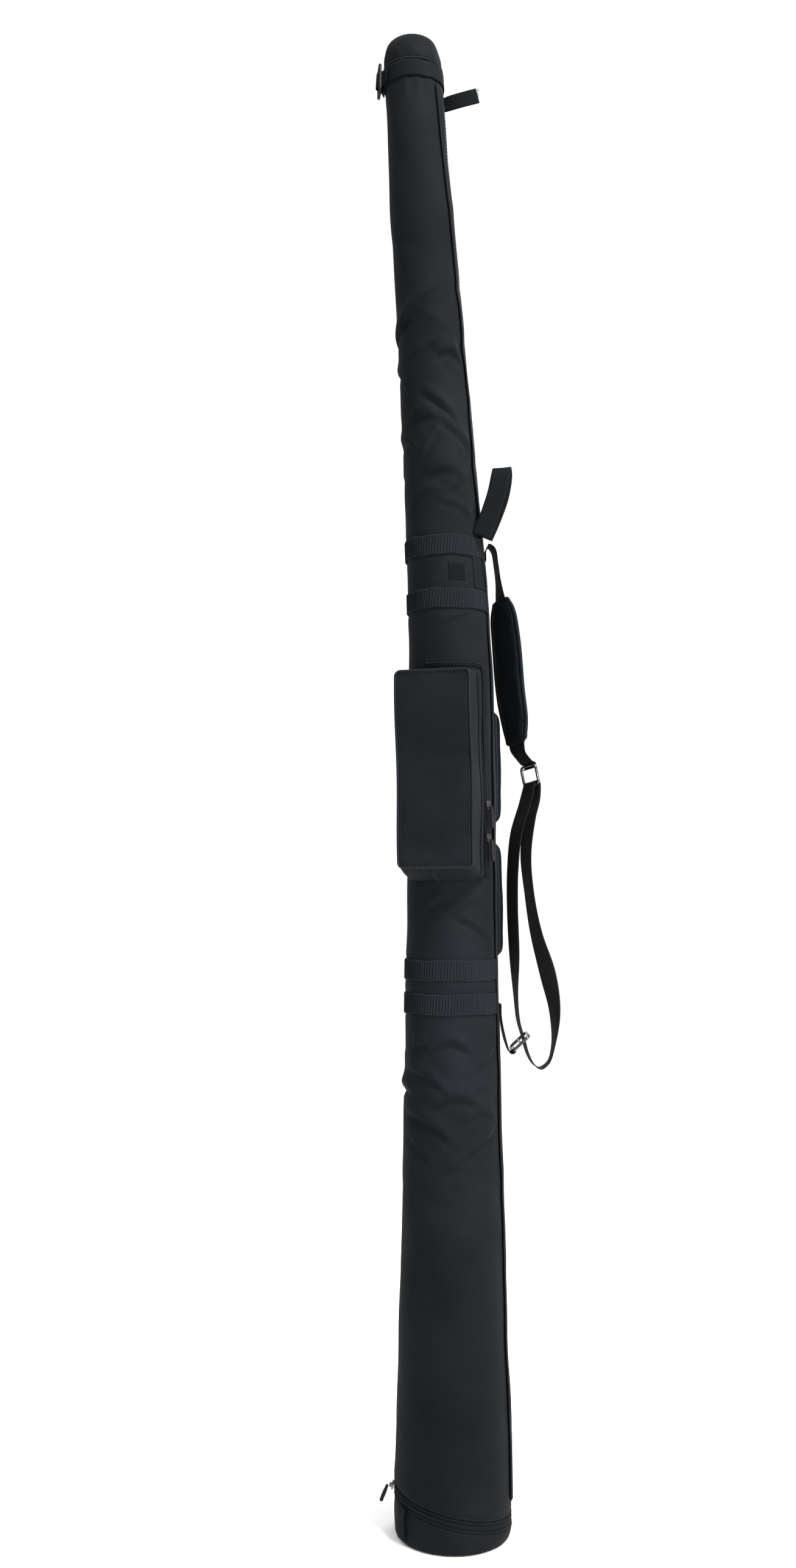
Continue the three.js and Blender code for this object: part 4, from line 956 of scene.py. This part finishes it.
def build_shoulder_pad():
    stations = [
        hung(62.5, 1116.5, 30, 0, 0.5), hung(65, 1100, 30, 0, 0.85), hung(69, 1063, 30, 0, 1),
        hung(74, 999, 30, -2, 1), hung(79, 962, 30, -5, 0.9), hung(81, 934, 30, -7, 0.62)
    ]
    S = curve(stations, 90)
    path, share = S[:, :3], S[:, 6]
    _, across, up = frames(path, S[:, 3:6], False)
    half = np.linspace(-1, 1, 15)
    bulge = (1 - np.abs(half) ** 5) ** 0.5
    end = np.clip(np.minimum(np.linspace(0, 1, 91), np.linspace(1, 0, 91)) * 14, 0.55, 1) ** 0.5
    section = [(s, 1.5 + 2.0 * t) for s, t in zip(half, bulge)] + [
        (s, -1.5 - 2.0 * t) for s, t in zip(half[::-1], bulge[::-1])
    ]
    P = np.stack([path + across * (s * PAD_HALF * share)[:, None] + up * (t * end)[:, None] for s, t in section], 1)
    pad = grid("shoulder_pad_fill", P, "cloth", close_j=True, caps=True, body=None, slot=None)
    inflate(pad, 1.2, voxel=2.6)
    pad.data.materials.append(MAT["mesh"])
    for face in pad.data.polygons:
        k = int(np.argmin(np.abs(path[:, 2] - face.center.z / MM)))
        face.material_index = int(np.dot(np.array(face.normal), up[k]) < -0.25)
    pad.name = "shoulder_pad_cushion"
    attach(pad, "bag")
    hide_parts("shoulder_pad")
    sides = [(path + way * across * (PAD_HALF * share)[:, None])[2:-2] for way in (1, -1)]
    rim = np.vstack([sides[0], sides[1][::-1]])
    rim = curve(rim[::4], 240, closed=True)
    tube("shoulder_pad_binding", rim, 1.9, "binding", closed=True, slot="mesh_pad")
    inner = slice(4, 87)
    for k, way in enumerate((-1, 1)):
        line = path + across * (way * 24 * share)[:, None] + up * (3.9 * end)[:, None]
        found = [pad.closest_point_on_mesh(Vector(p * MM)) for p in line[inner]]
        seat = np.array([tuple(hit[1]) for hit in found]) / MM
        normal = np.array([tuple(hit[2]) for hit in found])
        stitches(f"shoulder_pad_stitches_{k}", seat + normal * 0.15, normal, slot="mesh_pad")


# ------------------------------------------------------------------ straps
WRAP = math.hypot(RAIL, 3.4) / 2 + FIT + WEBBING_T / 2 + 0.3  # from a bar's middle to the webbing round it
RING_TOP = np.array([94.0, -8.0, 910.0])
RING_DOWN = unit([0.2, 0, -0.98])
RING_LENGTH = 27
STRAP_SLIDER = np.array([82.5, -1, 573.5])
STRAP_SLIDER_LENGTH = 30
STRAP_SLIDER_ALONG = unit([0.731, 0, 0.682])


def squared(direction, to):
    """The direction turned square to another one."""
    return unit(np.asarray(direction, float) - np.asarray(to) * float(np.dot(direction, to)))


def around(bar, degrees, across, down, out):
    """A station of webbing that is wrapped round a buckle's bar."""
    a = math.radians(degrees)
    return [*(bar + down * WRAP * math.cos(a) + out * WRAP * math.sin(a)), *across, 1.0]


def build_straps():
    face = float(lean(1168) + radius(1168)) + FIT + BAND_T + FIT + WEBBING_T / 2 + 0.6
    upper = [
        hung(face + 0.2, 1166, 2, 7), hung(face + 0.3, 1178, 2, 7), hung(face + 4, 1185, 4, 7),
        hung(face + 10, 1180, 8, 6), hung(57.5, 1160, 8, 4), hung(59.8, 1140, 10, 3), hung(62.2, 1117.6, 22, 2),
        hung(64.2, 1107, 30, 0.5)
    ]
    ribbon("strap_upper_weave", upper, STRAP_W, WEBBING_T, 70, "webbing", stands_for="strap_upper_webbing")
    across = squared(outward(30), RING_DOWN)
    out = -np.cross(across, RING_DOWN)
    top_bar = RING_TOP + RING_DOWN * 1.6
    low_bar = RING_TOP + RING_DOWN * (RING_LENGTH - 1.6)
    tongue = [hung(80.8, 941, 30, -6.6, 1.2), hung(81.6, 931, 30, -7.2, 1.25), hung(86, 921, 30, -7.6, 1.02)]
    tongue += [around(top_bar, d, across, RING_DOWN, out) for d in (180, 225, 270, 315, 360)]
    ribbon("strap_tongue_weave", tongue, STRAP_W, WEBBING_T, 60, "webbing", stands_for="strap_tongue")
    loop = [around(low_bar, d, across, RING_DOWN, out) for d in (180, 135, 90)]
    for row in (
        (90.5, 862, 30, -8), (80, 826, 30, -6), (75.5, 780, 28, -4), (75, 735, 27, -3), (77, 679, 24, -2),
        (78.5, 630, 8, -1), (81.5, 598, 5, -1), (87.2, 578, 5, -1), (92, 560, 5, -1), (99, 547, 4, -1),
        (107, 542, 2, -1), (117, 549, 0, -1), (123, 570, 4, -2), (125, 610, 26, -3), (117, 655, 46, -4),
        (103, 705, 30, -5), (95, 752, 22, -6), (91, 800, 26, -7), (96, 845, 30, -8), (101.5, 868, 30, -8),
    ):
        loop.append(hung(*row))
    loop += [around(low_bar, d, across, RING_DOWN, out) for d in (270, 225)]
    ribbon("strap_weave", loop, STRAP_W, 1.3, 420, "worn_webbing", closed=True, cup=0.4, stands_for="strap_webbing")
    along = STRAP_SLIDER_ALONG
    side = squared(outward(5), along)
    bar = STRAP_SLIDER - along * (STRAP_SLIDER_LENGTH - RAIL) / 2
    under = np.array([along[2], 0, -along[0]])
    face = 55 + FIT + BAND_T + WEBBING_T / 2 + 0.7
    anchor = [
        [face + 0.9, 2, 619, *outward(2), 1], [face + 1.3, 2, 603, *outward(2), 1], [face + 5, 1, 581, *outward(4), 1]
    ]
    anchor += [around(bar, d, side, along, under) for d in (200, 164, 128, 92, 56, 20)]
    ribbon("strap_anchor_weave", anchor, STRAP_W, 1.3, 80, "webbing", stands_for="strap_anchor")


def build_loop_and_tail():
    foot = BAND_BOTTOMS[0] + BAND_H + FIT
    side = float(lean(foot) + radius(foot))
    front = -0.74 * float(radius(foot))
    rows = [
        (1.6, 0, 0.6), (10.5, -3, 22), (20.5, -6, 52), (25.5, -6, 76), (27.5, -2, 84), (29, 2.5, 76), (25.5, 4, 52),
        (15, 8.5, 22), (5.6, 11.5, 0.6)
    ]
    stations = [
        [side + dx - 3.2, front + dy, foot + dz, math.cos(0.25), -math.sin(0.25), 0, 0.92] for dx, dy, dz in rows
    ]
    ribbon(
        "hang_loop_weave", stations, STRAP_W, WEBBING_T, 110, "webbing", body="hang_loop_body", stands_for="hang_loop"
    )
    middle = CAP_SEAM_Z - 24 - FIT - TAIL_W / 2
    stations = [[*on(az, float(radius(middle)) + 1.5, middle), LEAN_SLOPE, 0, 1, 1] for az in np.linspace(180, 130, 6)]
    leaves = on(112, float(radius(middle)) + 2.0, middle)
    stations.append([*leaves, LEAN_SLOPE, 0, 1, 1])
    for dx, dy, dz in ((12, -7, 0.5), (28, -11, 3), (45, -12, 7)):
        stations.append([*(leaves + [dx, dy, dz]), -0.1, 0, 1, 1])
    ribbon("neck_tail_weave", stations, TAIL_W, WEBBING_T, 90, "webbing", stands_for="neck_strap_tail")
    tip = np.array(stations[-1][:3])
    strands = []
    for k in range(26):
        v = -9.6 + 19.2 * k / 25
        start = tip + np.array([-0.5, 0, v])
        bend = np.array([rng.uniform(0.5, 2.6), rng.uniform(-0.8, 0.8), rng.uniform(-0.6, 0.6)])
        strands.append([start, start + bend * 0.5, start + bend])
    points, faces = [], []
    for s in strands:
        faces += ring_faces(len(points), 3, 3)
        for p, r in zip(s, (0.3, 0.24, 0.08)):
            for a in (0, 2.1, 4.2):
                points.append(p + np.array([0, math.cos(a), math.sin(a)]) * r)
    make("neck_tail_fray", points, faces, "webbing", slot="webbing")


# ------------------------------------------------------------------ hard parts
def rounded_frame(name, middle, x_axis, y_axis, length, width, bars, mat, node, corner):
    """A moulded frame: a rounded outline swept with an oval section, and oval bars across it."""
    x_axis = unit(x_axis)
    z_axis = unit(np.cross(x_axis, y_axis))
    y_axis = np.cross(z_axis, x_axis)
    sides = 10
    hx, hy = length / 2 - RAIL / 2, width / 2 - RAIL / 2
    outline = []
    for cx, cy, a0 in ((hx, hy, 0), (-hx, hy, 90), (-hx, -hy, 180), (hx, -hy, 270)):
        sx, sy = (1 if cx > 0 else -1), (1 if cy > 0 else -1)
        for a in np.linspace(a0, a0 + 90, 8):
            outline.append(
                (
                    cx - sx * corner + corner * math.cos(math.radians(a)),
                    cy - sy * corner + corner * math.sin(math.radians(a))
                )
            )
    outline = np.array(outline)
    points, faces = [], []

    def sweep(path, closed, wide, high):
        faces.extend(ring_faces(len(points), len(path), sides, closed))
        tangent = unit(np.roll(path, -1, 0) - np.roll(path, 1, 0) if closed else np.gradient(path, axis=0))
        for p, (tx, ty) in zip(path, tangent):
            for k in range(sides):
                a = 2 * math.pi * k / sides
                q = p + np.array([ty, -tx]) * math.cos(a) * wide / 2
                points.append(middle + x_axis * q[0] + y_axis * q[1] + z_axis * math.sin(a) * high / 2)

    sweep(outline, True, RAIL, RAIL_T)
    for b in range(1, bars - 1):
        x = -hx + 2 * hx * b / (bars - 1)
        sweep(np.stack([np.full(9, x), np.linspace(-hy, hy, 9)], -1), False, RAIL * 0.9, RAIL_T * 0.85)
    make(name, points, faces, mat, stands_for=node, slot="moulded_plastic")


def build_buckles():
    across = squared(outward(30), RING_DOWN)
    rounded_frame(
        "strap_ring_moulded", RING_TOP + RING_DOWN * RING_LENGTH / 2, RING_DOWN, across, RING_LENGTH, 34, 2, "gloss",
        "strap_ring", 5
    )
    side = squared(outward(5), STRAP_SLIDER_ALONG)
    rounded_frame(
        "strap_slider_moulded", STRAP_SLIDER, STRAP_SLIDER_ALONG, side, STRAP_SLIDER_LENGTH, 34, 3, "gloss", "strap_slider", 5
    )
    az, band_face, lift = -84, NECK_RADIUS + 2.2, 5
    seat = on(az, band_face + lift, NECK_BAND_Z)
    rounded_frame("neck_buckle_moulded", seat, outward(6), [0, 0, 1], 26, 38, 3, "matt", "neck_buckle", 3.5)
    shifts = [-19, -15, -11, -7.6, -4.8, -2, 2, 4.8, 7.6, 11, 15, 19]
    hug = band_face + 1.1 + FIT
    over = band_face + lift + 1.7 + 0.8 + 0.9
    radii = [math.sqrt(hug**2 - s * s) for s in (19, 15, 11)] + [hug + 0.6, over - 3, over]
    radii += radii[::-1]
    stations = [[*(on(az, r, NECK_BAND_Z) + outward(6) * s), LEAN_SLOPE, 0, 1, 1] for s, r in zip(shifts, radii)]
    ribbon("neck_buckle_weave", stations, TAIL_W, 1.2, 60, "webbing", stands_for="neck_buckle_webbing")


def build_base_puller():
    start = np.array([-77.12, 4.06, 52.97])
    way, length = unit([-0.42, 0, -1]), 21.6
    t = np.linspace(0, 1, 26)
    r = 2.3 * np.clip(np.minimum(t, 1 - t) * 12, 0.02, 1) ** 0.5 * (0.72 + 0.28 * t)
    more = {"body": "base_zip_puller_body", "slot": "puller_rubber"}
    path = start + way * (t * length)[:, None]
    tube("base_cord_pull", path, r, "puller", sides=14, stands_for="base_zip_puller", **more)
    a = np.linspace(0, 2 * math.pi, 20, endpoint=False)[:, None]
    spokes = np.array([way[2], 0, -way[0]]) * np.cos(a) + np.array([0, 1, 0]) * np.sin(a)
    for k, f in enumerate((0.34, 0.44, 0.54, 0.64)):
        ring = start + way * length * f + spokes * (2.05 + 0.28 * f)
        tube(f"base_cord_pull_rib_{k}", ring, 0.35, "puller", closed=True, sides=6, **more)


def dress_cad_nodes():
    looks = {
        "didgeridoo_tube": "wood", "wax_mouthpiece": "wax",
        "base_zip_slider": "metal", "pocket_slider_upper": "metal", "pocket_slider_lower": "metal",
        "pocket_puller_upper": "puller", "pocket_puller_lower": "puller",
    }
    for node, look in looks.items():
        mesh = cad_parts[node].data
        mesh.materials.clear()
        mesh.materials.append(MAT[look])
        if look in ("wood", "wax"):
            mesh.polygons.foreach_set("use_smooth", [True] * len(mesh.polygons))


def build_floor():
    n = Nodes("floor_paint")
    n.set("Base Color", n.mix(n.noise(2.0, 2.0), (0.94, 0.94, 0.94, 1), (0.96, 0.96, 0.96, 1)))
    n.set("Roughness", 0.7)
    mesh = bpy.data.meshes.new("floor")
    size = 14
    mesh.from_pydata([(-size, -size, 0), (size, -size, 0), (size, size, 0), (-size, size, 0)], [], [(0, 1, 2, 3)])
    mesh.materials.append(n.material)
    floor = bpy.data.objects.new("floor", mesh)
    bpy.context.scene.collection.objects.link(floor)


build_sleeve()
build_cap()
build_lid()
build_tab()
build_bands()
build_side_zip()
build_pocket()
build_pocket_zip()
build_back_pads()
build_shoulder_pad()
build_straps()
build_loop_and_tail()
build_buckles()
build_base_puller()
dress_cad_nodes()
build_floor()
